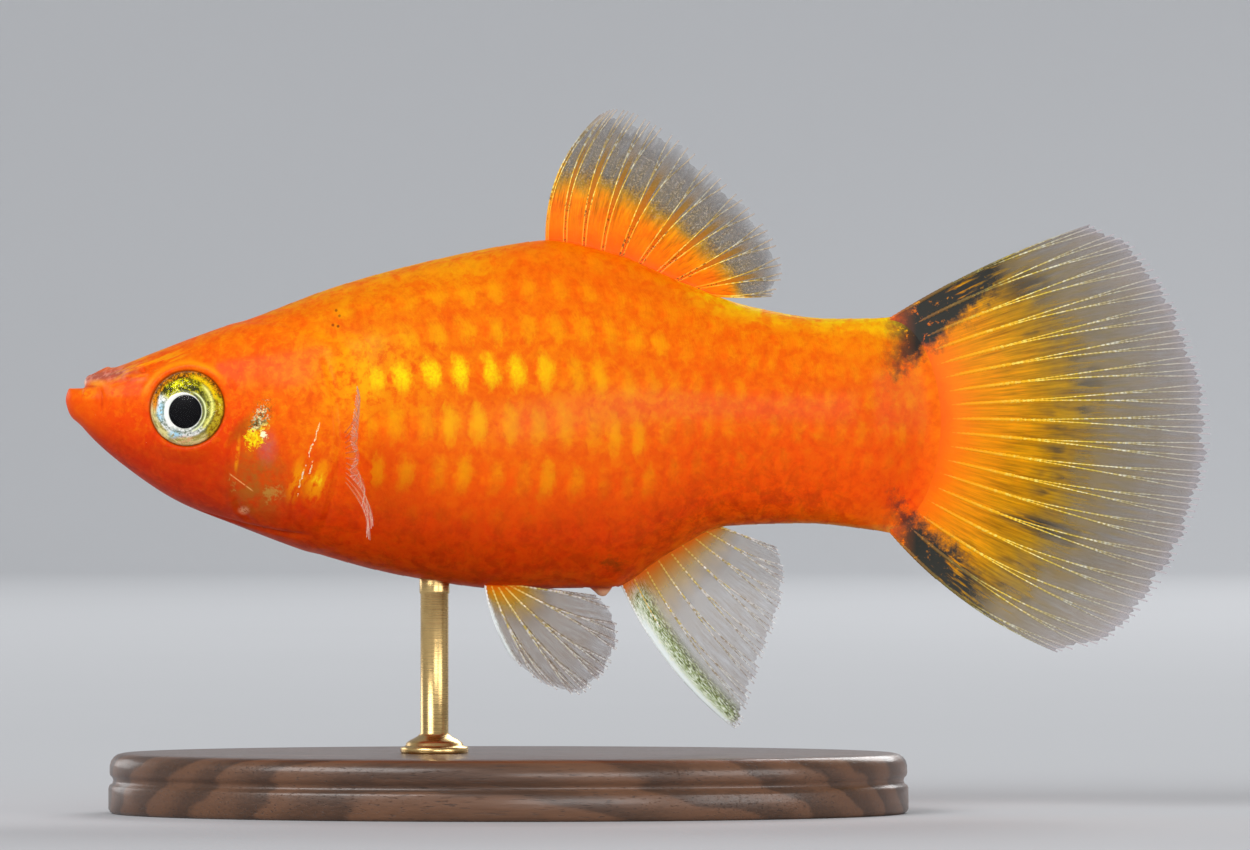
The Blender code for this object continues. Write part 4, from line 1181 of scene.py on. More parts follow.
def pectoral_blade(side):
    rise, sweep, length = (curve_through(PECTORAL[k]) for k in ("rise", "sweep", "length"))

    def point(across, along):
        t = np.clip(across, -0.01, 1.01)
        x, z = (a + (b - a) * t for a, b in zip(PECTORAL["root_top"], PECTORAL["root_bottom"]))
        up, aft, reach = np.radians(rise(t)), np.radians(sweep(t)), length(t)
        tip = stack(np.sin(aft) * np.cos(up), side * np.cos(aft) * np.cos(up), np.sin(up)) * reach[..., None]
        points = stack(x, side * (side_of(x, z) + GAP), z) + tip * along[..., None]
        points[..., 0] += PECTORAL["cup"] * reach * 4 * along * (1 - along)
        height, waves = PECTORAL["wave"]
        wave = np.sin(2 * np.pi * waves * across) * smooth(across, 0.2, 0.6)
        points[..., 0] += height * wave * np.maximum(along, 0) ** 2
        return points

    return point


# Name, blade, number of rays, kind of parting, how far the root goes into the body, slot
FINS = (
    ("dorsal", fan_blade(DORSAL, dorsal_root, in_middle_plane), DORSAL["rays"], "dorsal", 0.14, "dorsal_fin"),
    ("tail", fan_blade(CAUDAL, tail_root, in_middle_plane), CAUDAL["rays"], "tail", 0.07, "tail_fin"),
    ("anal", fan_blade(ANAL, anal_root, in_middle_plane), ANAL["rays"], "clear", 0.12, "clear_fin"),
    ("pelvic_left", pelvic_blade(-1), PELVIC["rays"], "clear", 0.12, "clear_fin"),
    ("pelvic_right", pelvic_blade(1), PELVIC["rays"], "clear", 0.12, "clear_fin"),
    ("pectoral_left", pectoral_blade(-1), PECTORAL["rays"], "pectoral", 0.1, "clear_fin"),
    ("pectoral_right", pectoral_blade(1), PECTORAL["rays"], "pectoral", 0.1, "clear_fin"),
)


def membrane(name, blade, rays, fray, inset):
    """A thin closed sheet with a fine toothed edge, thicker where it leaves the body."""
    half = bpy.context.scene.platy_fins.membrane / MM / 2
    columns, lines = (rays - 1) * MEMBRANE_COLUMNS + 1, MEMBRANE_LINES
    across = np.linspace(0.0, 1.0, columns)[None].repeat(lines, 0)
    teeth = 0.5 - 0.5 * np.cos(2 * np.pi * 4 * across * (rays - 1))
    gaps = 0.5 - 0.5 * np.cos(2 * np.pi * across * (rays - 1))
    uneven = np.sin(across * 37.0) * 0.006 + np.sin(across * 83.0 + 1.0) * 0.004
    reach = 0.982 - 0.016 * teeth - fray * gaps + uneven
    share = np.linspace(0.0, 1.0, lines)[:, None].repeat(columns, 1)
    along = -inset + (reach + inset) * share
    points = blade(across, along)
    to_side = np.gradient(points, axis=1)
    to_tip = np.gradient(points, axis=0)
    normal = np.cross(to_side, to_tip)
    normal /= np.maximum(np.linalg.norm(normal, axis=-1, keepdims=True), 1e-12)
    swell, reached = ROOT_SWELL.get(name, (0.02, 0.04))
    thick = half * (0.35 + 0.65 * smooth(along, 1.0, 0.8)) + swell * smooth(along, reached, -0.02)
    offset = normal * thick[..., None]
    both = np.concatenate([(points + offset).reshape(-1, 3), (points - offset).reshape(-1, 3)])
    count = lines * columns
    front = grid_faces(lines, columns)
    faces = front + [tuple(reversed([i + count for i in f])) for f in front]
    last = (lines - 1) * columns
    rim = [*range(columns), *range(2 * columns - 1, count, columns)]
    rim += [*range(count - 2, last - 1, -1), *range(last - columns, 0, -columns)]
    faces += [(a, b, b + count, a + count) for a, b in zip(rim, rim[1:] + rim[:1])]
    sheet = outward(mesh_object("membrane_" + name, placed(both), faces))
    place = np.stack([across, along], -1).reshape(-1, 2)
    uv_from_points(sheet, "fan", np.concatenate([place, place]))
    return sheet


def ray_lines(blade, rays, parting, inset):
    """The middle lines of a fin's rays and their branches, as edges that carry their thickness."""
    spread_root, spread_tip, first, second, opened, radius, _, _ = PARTING[parting]
    halves = (-1.0, 1.0)
    trunk = halves if spread_root else (0.0,)
    pieces = ((trunk, -inset, first), (halves, first, second), ((-2.0, -1.0, 1.0, 2.0), second, 0.995))
    places, thick, edges = [], [], []
    for ray in range(rays):
        for branches, start, end in pieces:
            for branch in branches:
                a = np.linspace(start, end, max(4, int(26 * (end - start))))
                sign = np.sign(branch)
                off = sign * (spread_root + (spread_tip - spread_root) * smooth(a, first * 0.6, 1.0))
                if start == second:
                    inner = -sign if abs(branch) == 1 else sign
                    off = off + inner * opened * smooth(a, second, 1.0)
                t = np.clip((ray + off) / (rays - 1), 0.0, 1.0)
                first_point = len(places)
                places += list(zip(t, a))
                full = 1.0 if branch == 0 else 0.72
                thick += list(radius * full * (1.15 - 0.5 * np.clip(a, 0, 1)))
                edges += [(first_point + i, first_point + i + 1) for i in range(len(a) - 1)]
    places = np.array(places)
    points = blade(places[:, 0], places[:, 1])
    lines = mesh_object("lines", placed(points), [], edges)
    number_on_points(lines, "thick", np.array(thick) * MM)
    number_on_points(lines, "across", places[:, 0])
    number_on_points(lines, "along", places[:, 1])
    return lines


RAY_TREE_INPUTS = (
    ("Joint", "NodeSocketFloat", 0.24 * MM), ("Waist", "NodeSocketFloat", 0.28),
    ("Sides", "NodeSocketInt", 6), ("Material", "NodeSocketMaterial", None),
)  # fmt: skip


def ray_tree():
    """Grows a jointed round ray along each line."""
    net, given = new_tree("fin rays", RAY_TREE_INPUTS)
    curve = net.term("GeometryNodeMeshToCurve", {"Mesh": given["Geometry"]})
    joint = given["Joint"]
    curve = net.term("GeometryNodeResampleCurve", {"Curve": curve, "Length": joint / 3.0}, mode="LENGTH")
    run = net.term("GeometryNodeSplineParameter", out=1)
    wave = abs(net.math("SINE", run / joint * math.pi))
    thick = named(net, "thick") * (1.0 - given["Waist"] * (1.0 - wave))
    ring = net.term("GeometryNodeCurvePrimitiveCircle", {"Resolution": given["Sides"], "Radius": 1.0})
    feeds = {"Curve": curve, "Profile Curve": ring, "Scale": thick, "Fill Caps": True}
    tubes = net.term("GeometryNodeCurveToMesh", feeds)
    close_tree(net, tubes, given["Material"])
    return net


FIN_COLOURS = {
    "tail": (
        (0.0, (1.0, 0.13, 0.0005)), (0.06, (0.98, 0.2, 0.0005)), (0.16, (0.82, 0.25, 0.0003)),
        (0.32, (0.58, 0.24, 0.0003)), (0.44, (0.42, 0.21, 0.001)), (0.54, (0.29, 0.17, 0.01)),
        (0.7, (0.2, 0.135, 0.045)), (1.0, (0.24, 0.185, 0.17)),
    ),
    "dorsal": (
        (0.0, (1.0, 0.13, 0.0003)), (0.12, (1.0, 0.2, 0.0003)), (0.27, (0.95, 0.22, 0.0003)),
        (0.36, (0.8, 0.28, 0.0005)), (0.44, (0.5, 0.26, 0.006)), (0.55, (0.27, 0.18, 0.06)),
        (0.8, (0.17, 0.13, 0.1)), (1.0, (0.2, 0.15, 0.14)),
    ),
    "clear": (
        (0.0, (0.9, 0.16, 0.001)), (0.07, (0.72, 0.27, 0.003)), (0.17, (0.5, 0.3, 0.02)),
        (0.35, (0.26, 0.18, 0.1)), (1.0, (0.2, 0.15, 0.13)),
    ),
    "pectoral": ((0.0, (0.95, 0.16, 0.01)), (0.3, (0.95, 0.3, 0.12)), (1.0, (0.95, 0.45, 0.34))),
}  # fmt: skip
FIN_SOLID = {
    "tail": ((0.0, 1.0), (0.25, 1.0), (0.4, 0.92), (0.5, 0.76), (0.62, 0.56), (0.8, 0.46), (1.0, 0.36)),
    "dorsal": ((0.0, 1.0), (0.28, 0.96), (0.42, 0.8), (0.56, 0.56), (0.8, 0.44), (1.0, 0.2)),
    "clear": ((0.0, 0.95), (0.08, 0.75), (0.2, 0.42), (0.4, 0.23), (1.0, 0.2)),
    "pectoral": ((0.0, 0.2), (0.3, 0.2), (1.0, 0.14)),
}  # fmt: skip
# How far the sheet is cut in between the rays, in shares of its length
FRAY = {"tail": 0.012, "dorsal": 0.06, "clear": 0.02, "pectoral": 0.03}
# How much thicker the sheet gets at its root, in millimetres, and up to what share of its length
ROOT_SWELL = {"tail": (0.08, 0.14)}
# How many fibres cross a fin
FIBRES = {"tail": 110.0, "dorsal": 60.0, "clear": 55.0, "pectoral": 50.0}
# Amber between the halves of the dorsal rays, and the bands of the anal fin's front
AMBER = (
    (0.0, (0.95, 0.13, 0.0005)), (0.35, (0.68, 0.16, 0.0005)), (0.6, (0.38, 0.18, 0.008)),
    (0.9, (0.27, 0.18, 0.05)),
)  # fmt: skip
SILVER_GREEN = (
    (0.42, (0.02, 0.03, 0.01)), (0.48, (0.17, 0.22, 0.04)), (0.53, (0.48, 0.6, 0.25)),
    (0.59, (0.92, 1.0, 0.95)), (0.68, (0.95, 0.95, 0.7)),
)  # fmt: skip


class FinPaint(Paint):
    """Paint for a membrane: fibres that run out along the fan, and how solid it is."""

    def __init__(self, kind):
        super().__init__(kind + " fin membrane")
        across, along, _ = self.split(self.term("ShaderNodeUVMap", uv_map="fan"))
        cloudy = (self.cloud(0.8, 4.0, 0.6) - 0.5) * 0.24 * self.smooth(along, 0.12, 0.3)
        self.across, self.along, self.level = across, along, along + cloudy
        self.fibre = self.noise(self.joined(across * FIBRES[kind], along * 5.0), 1.0, 3.0, 0.65)
        self.grain = self.cloud(11.0, 2.0, 0.8)
        # Only the marks of the tail and the dorsal fin follow the rays
        rays = (DORSAL if kind == "dorsal" else CAUDAL)["rays"]
        self.to_ray = abs(self.math("FRACT", across * (rays - 1.0) + 0.5) - 0.5)
        self.colour = self.ramp(self.level, FIN_COLOURS[kind])
        shades = ((0.3, (0.55, 0.5, 0.5)), (0.5, (1.0, 1.0, 1.0)), (0.68, (1.4, 1.45, 1.4)))
        fibrous = self.mix(1.0, self.colour, self.ramp(self.fibre, shades), "MULTIPLY")
        self.lay(self.smooth(along, 0.02, 0.3), fibrous)
        solid = self.split(self.ramp(self.level, [(at, (v, v, v)) for at, v in FIN_SOLID[kind]]))[0]
        self.solid = solid + (self.fibre - 0.5) * 0.6 * self.smooth(along, 0.35, 0.6)

    def thicken(self, share):
        """Makes the membrane at least as solid as the share says."""
        self.solid = self.math("MAXIMUM", self.solid, share)


def tail_marks(paint):
    """Red clouds at the root, the comet marks, and smudges between the rays."""
    across, along = paint.across, paint.along
    blend = paint.smooth(paint.cloud(0.9, 5.0, 0.66, 0.9), 0.45, 0.6) * paint.smooth(along, 0.2, 0.0)
    paint.lay(blend * 0.2, (1.0, 0.07, 0.0005))
    streaks = paint.noise(paint.joined(across * 80.0, along * 5.0), 1.0, 4.0, 0.65)
    marks = comet_marks(paint) * paint.smooth(streaks + paint.smooth(along, 0.3, 0.08) * 0.4, 0.34, 0.5)
    smudge = paint.noise(paint.joined(across * 19.0, along * 4.0), 1.0, 3.0, 0.6)
    faint = paint.smooth(smudge, 0.53, 0.66) * paint.within(along, 0.34, 0.44, 0.54, 0.72)
    faint = faint * paint.smooth(paint.to_ray, 0.1, 0.25) * 0.7
    top = paint.oval(across, along, (0.09, 0.52), (0.045, 0.1), 0.8)
    low = paint.oval(across, along, (0.76, 0.46), (0.02, 0.13), 0.8)
    faint = paint.math("MAXIMUM", faint, (top * 0.75 + low) * paint.smooth(streaks, 0.36, 0.52))
    marks = paint.math("MAXIMUM", marks, faint)
    paint.lay(marks, (0.03, 0.03, 0.025))
    paint.thicken(marks * 0.94)


def dorsal_marks(paint):
    """Grey dust further out, amber between the halves of each ray, and dark specks at the rays' roots."""
    along, grain = paint.along, paint.grain
    dust = paint.smooth(paint.level, 0.34, 0.55)
    paint.lay(dust * paint.smooth(grain, 0.5, 0.6) * 0.85, (0.05, 0.05, 0.045))
    paint.lay(dust * paint.smooth(grain, 0.43, 0.34) * 0.75, (0.6, 0.54, 0.44))
    core = paint.smooth(paint.to_ray - along * 0.03, 0.11, 0.05) * paint.smooth(along, 0.95, 0.55)
    paint.lay(core * 0.85, paint.ramp(along, AMBER))
    clouds = paint.smooth(paint.cloud(1.0, 4.0, 0.65), 0.42, 0.62) * paint.smooth(along, 0.45, 0.2)
    paint.lay(clouds * 0.5, (0.9, 0.11, 0.0003))
    paint.thicken(core * 0.85)
    specks = paint.smooth(grain, 0.56, 0.62) * paint.smooth(along, 0.42, 0.2)
    paint.lay(specks * paint.smooth(paint.to_ray, 0.12, 0.06) * 0.8, (0.12, 0.02, 0.001))
    paint.solid = paint.solid * paint.smooth(along + (paint.fibre - 0.5) * 0.5, 1.05, 0.8)


def clear_marks(paint):
    """The anal fin's band of silver and green, and the white front edge of each clear fin."""
    across, along = paint.across, paint.along
    band = paint.smooth(across, 0.26, 0.12) * paint.smooth(along, -0.02, 0.12)
    band = band * paint.smooth(paint.behind, 27.6, 28.6) * paint.smooth(paint.over, -7.0, -8.4)
    lines = paint.noise(paint.joined(across * 125.0, along * 26.0), 1.0, 4.0, 0.8)
    lines = lines + paint.smooth(across, 0.17, 0.05) * 0.06
    paint.lay(band * 0.95, paint.ramp(lines, SILVER_GREEN))
    white = paint.smooth(across + (lines - 0.5) * 0.2, 0.09, 0.04) * paint.smooth(along, 0.1, 0.3)
    paint.lay(white * 0.95, (0.92, 1.0, 1.0))
    paint.thicken(paint.math("MAXIMUM", band * paint.smooth(lines, 0.3, 0.45), white * 0.8) * 0.9)


def pectoral_marks(paint):
    """Clear where the fin leaves the body."""
    paint.solid = paint.solid * paint.smooth(paint.along, 0.0, 0.12)


FIN_MARKS = {"tail": tail_marks, "dorsal": dorsal_marks, "clear": clear_marks, "pectoral": pectoral_marks}


def membrane_material(kind):
    """A fin's membrane with the marks of its kind and a paler edge."""
    paint = FinPaint(kind)
    FIN_MARKS[kind](paint)
    paint.lay(paint.smooth(paint.along, 0.92, 0.975) * 0.3, (0.6, 0.54, 0.64))
    clearness = bpy.context.scene.platy_fins.clearness
    return paint.done(
        Alpha=paint.math("MINIMUM", 1.0 - (1.0 - paint.solid) * clearness, 1.0), Roughness=0.45,
        Specular_IOR_Level=0.04, Coat_Weight=0.06, Coat_Roughness=0.15,
        Normal=paint.relief(paint.fibre + paint.grain * 0.3, 0.03, 0.6),
    )  # fmt: skip


RAY_COLOURS = {
    "tail": (
        (0.0, (1.0, 0.2, 0.001)), (0.08, (1.0, 0.34, 0.002)), (0.34, (0.95, 0.52, 0.006)),
        (0.56, (0.8, 0.62, 0.09)), (0.8, (0.72, 0.66, 0.48)), (1.0, (0.62, 0.56, 0.6)),
    ),
    "dorsal": (
        (0.0, (1.0, 0.26, 0.001)), (0.25, (1.0, 0.42, 0.004)), (0.5, (0.95, 0.55, 0.03)),
        (0.7, (0.74, 0.54, 0.16)), (1.0, (0.55, 0.48, 0.44)),
    ),
    "clear": (
        (0.0, (0.9, 0.45, 0.02)), (0.1, (0.8, 0.6, 0.16)), (0.35, (0.52, 0.42, 0.2)),
        (1.0, (0.5, 0.42, 0.4)),
    ),
    "pectoral": ((0.0, (1.0, 0.3, 0.1)), (0.4, (1.0, 0.55, 0.42)), (1.0, (1.0, 0.72, 0.6))),
}  # fmt: skip


def ray_material(kind):
    """Golden near the body and paler further out, with bright beads of painted glints."""
    paint = Paint(kind + " fin rays")
    along = paint.number("along")
    paint.colour = paint.ramp(along, RAY_COLOURS[kind])
    # Painted glints along the rays, golden near the body and white further out
    painted_glint = paint.smooth(paint.cloud(3.6, 2.0, 0.8), 0.49, 0.57) * paint.within(along, 0.15, 0.4, 0.8, 0.95)
    shining = paint.mix(paint.smooth(along, 0.35, 0.7), (1.0, 0.85, 0.15), (1.0, 1.0, 0.85))
    paint.lay(painted_glint * 0.9, shining)
    if kind == "tail":
        paint.lay(comet_marks(paint) * 0.85, (0.05, 0.045, 0.03))
    elif kind == "dorsal":
        few = paint.smooth(paint.cloud(0.3, 1.0), 0.46, 0.54)
        specks = paint.smooth(paint.cloud(6.0, 2.0, 0.8), 0.54, 0.6) * paint.smooth(along, 0.5, 0.3) * few
        paint.lay(specks * 0.85, (0.1, 0.03, 0.004))
    elif kind == "clear":
        # Painted glints: white beads along the clear fins' rays
        beads = paint.smooth(paint.cloud(4.6, 2.0, 0.8), 0.48, 0.53) * paint.smooth(along, 0.1, 0.28)
        paint.lay(beads * 0.97, (1.0, 1.0, 0.97))
        paint.lay(paint.smooth(paint.number("across"), 0.04, 0.01) * 0.9, (0.95, 1.0, 1.0))
    near_root = 0.45 if kind == "pectoral" else 1.0
    return paint.done(
        Alpha=paint.span(along, 0.55, 1.0, near_root, 0.6), Metallic=painted_glint * 0.2, Roughness=0.35,
        Specular_IOR_Level=0.15, Coat_Weight=0.25, Coat_Roughness=0.12,
    )  # fmt: skip


class IrisPaint(Paint):
    """Paint for the iris, which reads millimetres aft and up from the eye's middle."""

    def __init__(self):
        super().__init__("gold and silver iris")
        u, v, _ = self.split(self.term("ShaderNodeUVMap", uv_map="disc"))
        aft, up = (u - 0.5) * 4.0, (v - 0.5) * 4.0
        flat = self.length(aft, up)
        self.aft, self.up, self.flat = aft, up, flat
        # Foil that is creased round the pupil
        self.foil = self.noise(self.joined(aft / flat * 2.6, up / flat * 2.6, flat * 5.0), 1.0, 4.0, 0.75)
        self.speck = self.noise(self.joined(aft, up), 4.8, 3.0, 0.8)
        self.grit = self.noise(self.joined(aft, up), 8.5, 2.0, 0.8)


def paint_foil(paint):
    """Olive and yellow foil above and behind, silver, cream and blue below and ahead."""
    aft, up, flat = paint.aft, paint.up, paint.flat
    foil, speck, grit = paint.foil, paint.speck, paint.grit
    paint.colour = paint.mix(paint.smooth(foil, 0.42, 0.58), (0.05, 0.042, 0.001), (0.3, 0.25, 0.003))
    flakes = paint.smooth(foil + (speck - 0.5) * 0.8, 0.5, 0.57)
    paint.lay(flakes * paint.span(up + aft * 0.2, -0.3, 0.3, 0.4, 0.95), (0.75, 0.68, 0.002))
    bright = paint.oval(aft, up, (-0.55, 1.0), (0.6, 0.26), 0.7)
    bright = bright * paint.smooth(speck + (foil - 0.5) * 0.6, 0.46, 0.54)
    paint.lay(bright * 0.95, (0.88, 0.86, 0.006))
    rear = paint.oval(aft, up, (1.1, -0.1), (0.42, 1.1), 0.5)
    creases = paint.smooth(foil + (speck - 0.5) * 0.5, 0.44, 0.56)
    paint.lay(rear * 0.85, paint.mix(creases, (0.11, 0.11, 0.015), (0.46, 0.46, 0.08)))
    low = paint.smooth(up + aft * 0.75, -0.05, -0.5) * paint.smooth(flat, 1.62, 1.42)
    creases = paint.smooth(foil + (speck - 0.5) * 0.8, 0.41, 0.52)
    paint.lay(low * 0.95, paint.mix(creases, (0.24, 0.3, 0.22), (1.0, 1.0, 0.97)))
    cream = paint.smooth(up + aft * 0.6, -0.4, -0.9) * paint.smooth(flat, 1.44, 1.56)
    buff = paint.mix(paint.smooth(foil, 0.42, 0.56), (0.46, 0.36, 0.08), (0.9, 0.78, 0.34))
    paint.lay(cream * 0.9, buff)
    blue = paint.oval(aft, up, (-1.25, -0.2), (0.22, 0.4), 0.8)
    blue = blue + paint.oval(aft, up, (-0.5, -1.35), (0.3, 0.18), 0.8)
    paint.lay(blue * paint.smooth(speck, 0.4, 0.52) * 0.9, (0.4, 0.78, 1.0))
    dusk = paint.oval(aft, up, (0.15, -1.1), (0.55, 0.14), 0.8) * paint.smooth(grit, 0.46, 0.54)
    paint.lay(dusk * 0.85, (0.13, 0.13, 0.1))
    pink = paint.oval(aft, up, (-0.05, -1.6), (0.55, 0.16), 0.7) * paint.smooth(speck, 0.42, 0.54)
    paint.lay(pink * 0.75, (0.8, 0.36, 0.18))
    night = paint.oval(aft, up, (-0.95, 0.8), (0.22, 0.18), 0.8)
    night = night + paint.oval(aft, up, (0.45, 0.95), (0.36, 0.18), 0.8)
    night = night + paint.oval(aft, up, (0.92, 0.5), (0.14, 0.34), 0.8) * 0.8
    night = paint.math("MINIMUM", night, 1.0) * paint.smooth(grit, 0.42, 0.5)
    paint.lay(night * 0.9, (0.03, 0.035, 0.01))


def paint_rim(paint):
    """Orange and brown where the iris meets the skin, painted darker along the top as painted shade, with
    bright arcs inside it.
    """
    aft, up, flat = paint.aft, paint.up, paint.flat
    speck, grit = paint.speck, paint.grit
    # The iris is painted darker along its top: painted shade, with rust and dark specks of its own
    tall = paint.smooth(up - aft * 0.1, 0.1, 0.7)
    rim = paint.smooth(flat + (speck - 0.5) * 0.5, 1.45, 1.6) * tall
    rust = paint.mix(paint.smooth(speck, 0.44, 0.56), (0.26, 0.08, 0.003), (0.85, 0.28, 0.003))
    paint.lay(rim * 0.92, rust)
    left = paint.oval(aft, up, (-1.6, 0.3), (0.16, 0.4), 0.6)
    paint.lay(left * 0.85, (0.95, 0.3, 0.004))
    brown = paint.smooth(flat, 1.45, 1.56) * paint.smooth(aft, 0.9, 1.2) * paint.smooth(up, 0.6, 0.2)
    tan = paint.mix(paint.smooth(speck, 0.42, 0.54), (0.3, 0.15, 0.004), (0.62, 0.46, 0.02))
    paint.lay(brown * 0.85, tan)
    # Near-black specks, laid only in the painted shade along the top
    dark = paint.smooth(grit, 0.52, 0.58) * tall * paint.smooth(flat, 1.2, 1.5)
    paint.lay(dark * 0.9, (0.035, 0.02, 0.003))
    arc = paint.bump_at(flat, 1.58, 0.11) * paint.smooth(aft, 0.0, 0.4) * paint.smooth(up, 0.3, 0.55)
    paint.lay(arc * paint.smooth(grit, 0.36, 0.46) * 0.98, (1.0, 0.66, 0.004))
    streak = paint.bump_at(flat, 1.36, 0.075) * paint.smooth(aft, 0.7, 1.05) * paint.smooth(grit, 0.34, 0.44)
    paint.lay(streak * 0.98, (1.0, 0.95, 0.25))


def iris_material():
    """Foil and rim, with a white ring that is wide ahead and thin behind, round a black pupil."""
    paint = IrisPaint()
    paint_foil(paint)
    paint_rim(paint)
    a, b = paint.aft - PUPIL_SHIFT[0], paint.up - PUPIL_SHIFT[1]
    from_pupil = paint.length(a, b)
    wide = paint.span(a, -0.8, 0.6, 1.1, 0.9)
    ring = paint.smooth(from_pupil + (paint.speck - 0.5) * 0.1, wide, wide - 0.05)
    paint.lay(paint.bump_at(from_pupil - wide, 0.05, 0.04) * 0.55, (0.22, 0.26, 0.16))
    paint.lay(ring * paint.span(b, -0.95, -0.6, 0.3, 1.0) * 0.97, (1.0, 1.0, 0.93))
    behind_pupil = paint.smooth(a, 0.25, 0.6)
    paint.lay(paint.bump_at(from_pupil, 0.96, 0.035) * behind_pupil * 0.8, (0.1, 0.12, 0.04))
    paint.lay(paint.bump_at(from_pupil, 1.05, 0.04) * behind_pupil * 0.95, (0.95, 1.0, 0.5))
    pupil = paint.smooth(from_pupil, PUPIL_RADIUS + 0.015, PUPIL_RADIUS - 0.015)
    paint.lay(pupil, (0.003, 0.003, 0.004))
    # Painted shade round the iris's edge, where the eyeball meets the skin
    outer = paint.smooth(paint.flat, EYE_RADIUS - 0.07, EYE_RADIUS - 0.01)
    paint.lay(outer * 0.75, (0.14, 0.06, 0.006))
    return paint.done(
        Metallic=(1.0 - pupil) * (1.0 - outer) * 0.12, Roughness=0.4, Specular_IOR_Level=0.05,
        Normal=paint.relief((paint.foil + paint.grit * 0.6) * (1.0 - pupil), 0.03, 0.7),
    )  # fmt: skip


def cornea_material():
    """A clear wet dome that shows only what it mirrors."""
    paint = Paint("clear cornea")
    glance = paint.term("ShaderNodeLayerWeight", {"Blend": 0.2}, out=0)
    return paint.done(Base_Color=(1.0, 1.0, 1.0, 1.0), Metallic=1.0, Roughness=0.04, Alpha=glance * 0.16)


def turned(name, profile, count, origin, axes, slip=(0.0, 0.0, 0.0)):
    """A round piece from a chain of radius and height, closed on its axis at both ends.

    The axes are right, up and out, and the slip moves the front's middle aside.
    """
    profile = np.asarray(profile, float)
    turns = 2 * np.pi * np.arange(count) / count
    right, up, out = (np.asarray(a, float) for a in axes)

    def centre(r, h):
        return origin + h * out + np.asarray(slip) * smooth(r, 1.6, 1.0) * (h > 0)

    spokes = np.cos(turns)[:, None] * right + np.sin(turns)[:, None] * up
    rings = [centre(r, h) + r * spokes for r, h in profile[1:-1]]
    points = np.concatenate([*rings, [centre(*profile[0])], [centre(*profile[-1])]])
    faces = grid_faces(len(rings), count, closed=True)
    last = (len(rings) - 1) * count
    faces += [(len(points) - 2, (j + 1) % count, j) for j in range(count)]
    faces += [(len(points) - 1, last + j, last + (j + 1) % count) for j in range(count)]
    return outward(mesh_object(name, placed(points), faces)), points


IRIS_PROFILE = (
    (0.0, 0.4), (0.2, 0.398), (0.4, 0.388), (0.6, 0.372), (0.78, 0.352), (0.84, 0.33), (0.88, 0.37),
    (0.95, 0.385), (1.03, 0.37), (1.1, 0.335), (1.25, 0.3), (1.42, 0.25), (1.58, 0.18), (1.72, 0.1),
    (1.82, 0.03), (1.88, -0.06),
)  # fmt: skip


def make_eye(side, word, iris, cornea):
    """An eyeball with its iris, and the clear dome over it."""
    middle, out, up, rear = eye_axes(side)
    turns = np.linspace(0.1, math.pi / 2 - 0.1, 8)
    behind_globe = [(EYE_RADIUS * math.cos(a), -EYE_DEPTH * math.sin(a)) for a in turns]
    profile = [*IRIS_PROFILE, *behind_globe, (0.0, -EYE_DEPTH)]
    slip = PUPIL_SHIFT[0] * rear + PUPIL_SHIFT[1] * up
    globe, points = turned("eyeball_" + word, profile, 96, middle, (rear, up, out), slip)
    away = points - middle
    uv_from_points(globe, "disc", np.stack([away @ rear, away @ up], -1) / 4 + 0.5)
    turns = np.linspace(math.pi / 2, 0.03, 22)
    dome = [(EYE_RADIUS * math.cos(a), EYE_DOME * math.sin(a)) for a in turns]
    inner = [(r * 0.985, h - 0.025) for r, h in reversed(dome)]
    clear, _ = turned("cornea_" + word, [*dome, *inner], 96, middle, (rear, up, out))
    for piece, material in ((globe, iris), (clear, cornea)):
        finished(piece, material, "eye", "eye_" + word)


def wood_material():
    """Rings, fibres and dark pores that run along the base."""
    paint = Paint("dark oiled walnut")
    light = tuple(bpy.context.scene.platy_stand.wood)
    _, y, z = paint.split(paint.where)
    bent = paint.noise(paint.stretched(paint.where, (0.04, 0.16, 0.16)), 1.0, 3.0) * 3.4
    rings = paint.math("FRACT", (y + z * 0.6) * 0.5 + bent)
    fibre = paint.noise(paint.stretched(paint.where, (0.35, 7.0, 7.0)), 1.0, 4.0, 0.7)
    pores = paint.noise(paint.stretched(paint.where, (0.8, 14.0, 14.0)), 1.0, 2.0)
    pores = paint.smooth(pores, 0.6, 0.7)
    shade = paint.within(rings, 0.0, 0.8, 0.86, 1.0) * 0.5 + fibre * 0.7
    paint.colour = paint.mix(paint.smooth(shade, 0.15, 1.0), tuple(c * 0.36 for c in light), light)
    paint.lay(pores * 0.6, tuple(c * 0.12 for c in light))
    return paint.done(
        Roughness=paint.span(fibre, 0.3, 0.7, 0.3, 0.45), Coat_Weight=0.35, Coat_Roughness=0.15,
        Normal=paint.relief(pores * -1.0 + fibre * 0.5, 0.04, 0.5),
    )  # fmt: skip


def brass_material():
    """Brass with turning marks and a faint stain."""
    paint = Paint("brushed brass")
    turned_marks = paint.noise(paint.stretched(paint.where, (0.5, 0.5, 26.0)), 1.0, 2.0)
    stain = paint.cloud(0.8, 4.0)
    brass = tuple(bpy.context.scene.platy_stand.brass)
    paint.colour = paint.mix(paint.smooth(stain, 0.5, 0.75) * 0.5, brass, tuple(c * 0.6 for c in brass))
    return paint.done(
        Metallic=1.0, Roughness=paint.span(turned_marks, 0.3, 0.7, 0.2, 0.34),
        Normal=paint.relief(turned_marks, 0.01, 0.5),
    )  # fmt: skip


# Share of the base's height, then how far in from its outline; the last two lie on the flat top
BASE_PROFILE = (
    (0.0, 0.22), (0.03, 0.08), (0.08, 0.0), (0.42, 0.0), (0.47, 0.06), (0.5, 0.2), (0.55, 0.24),
    (0.6, 0.2), (0.63, 0.1), (0.68, 0.06), (0.8, 0.07), (0.88, 0.14), (0.94, 0.28), (0.98, 0.46),
    (1.0, 0.72), (1.0, 2.5), (1.0, 7.0),
)  # fmt: skip


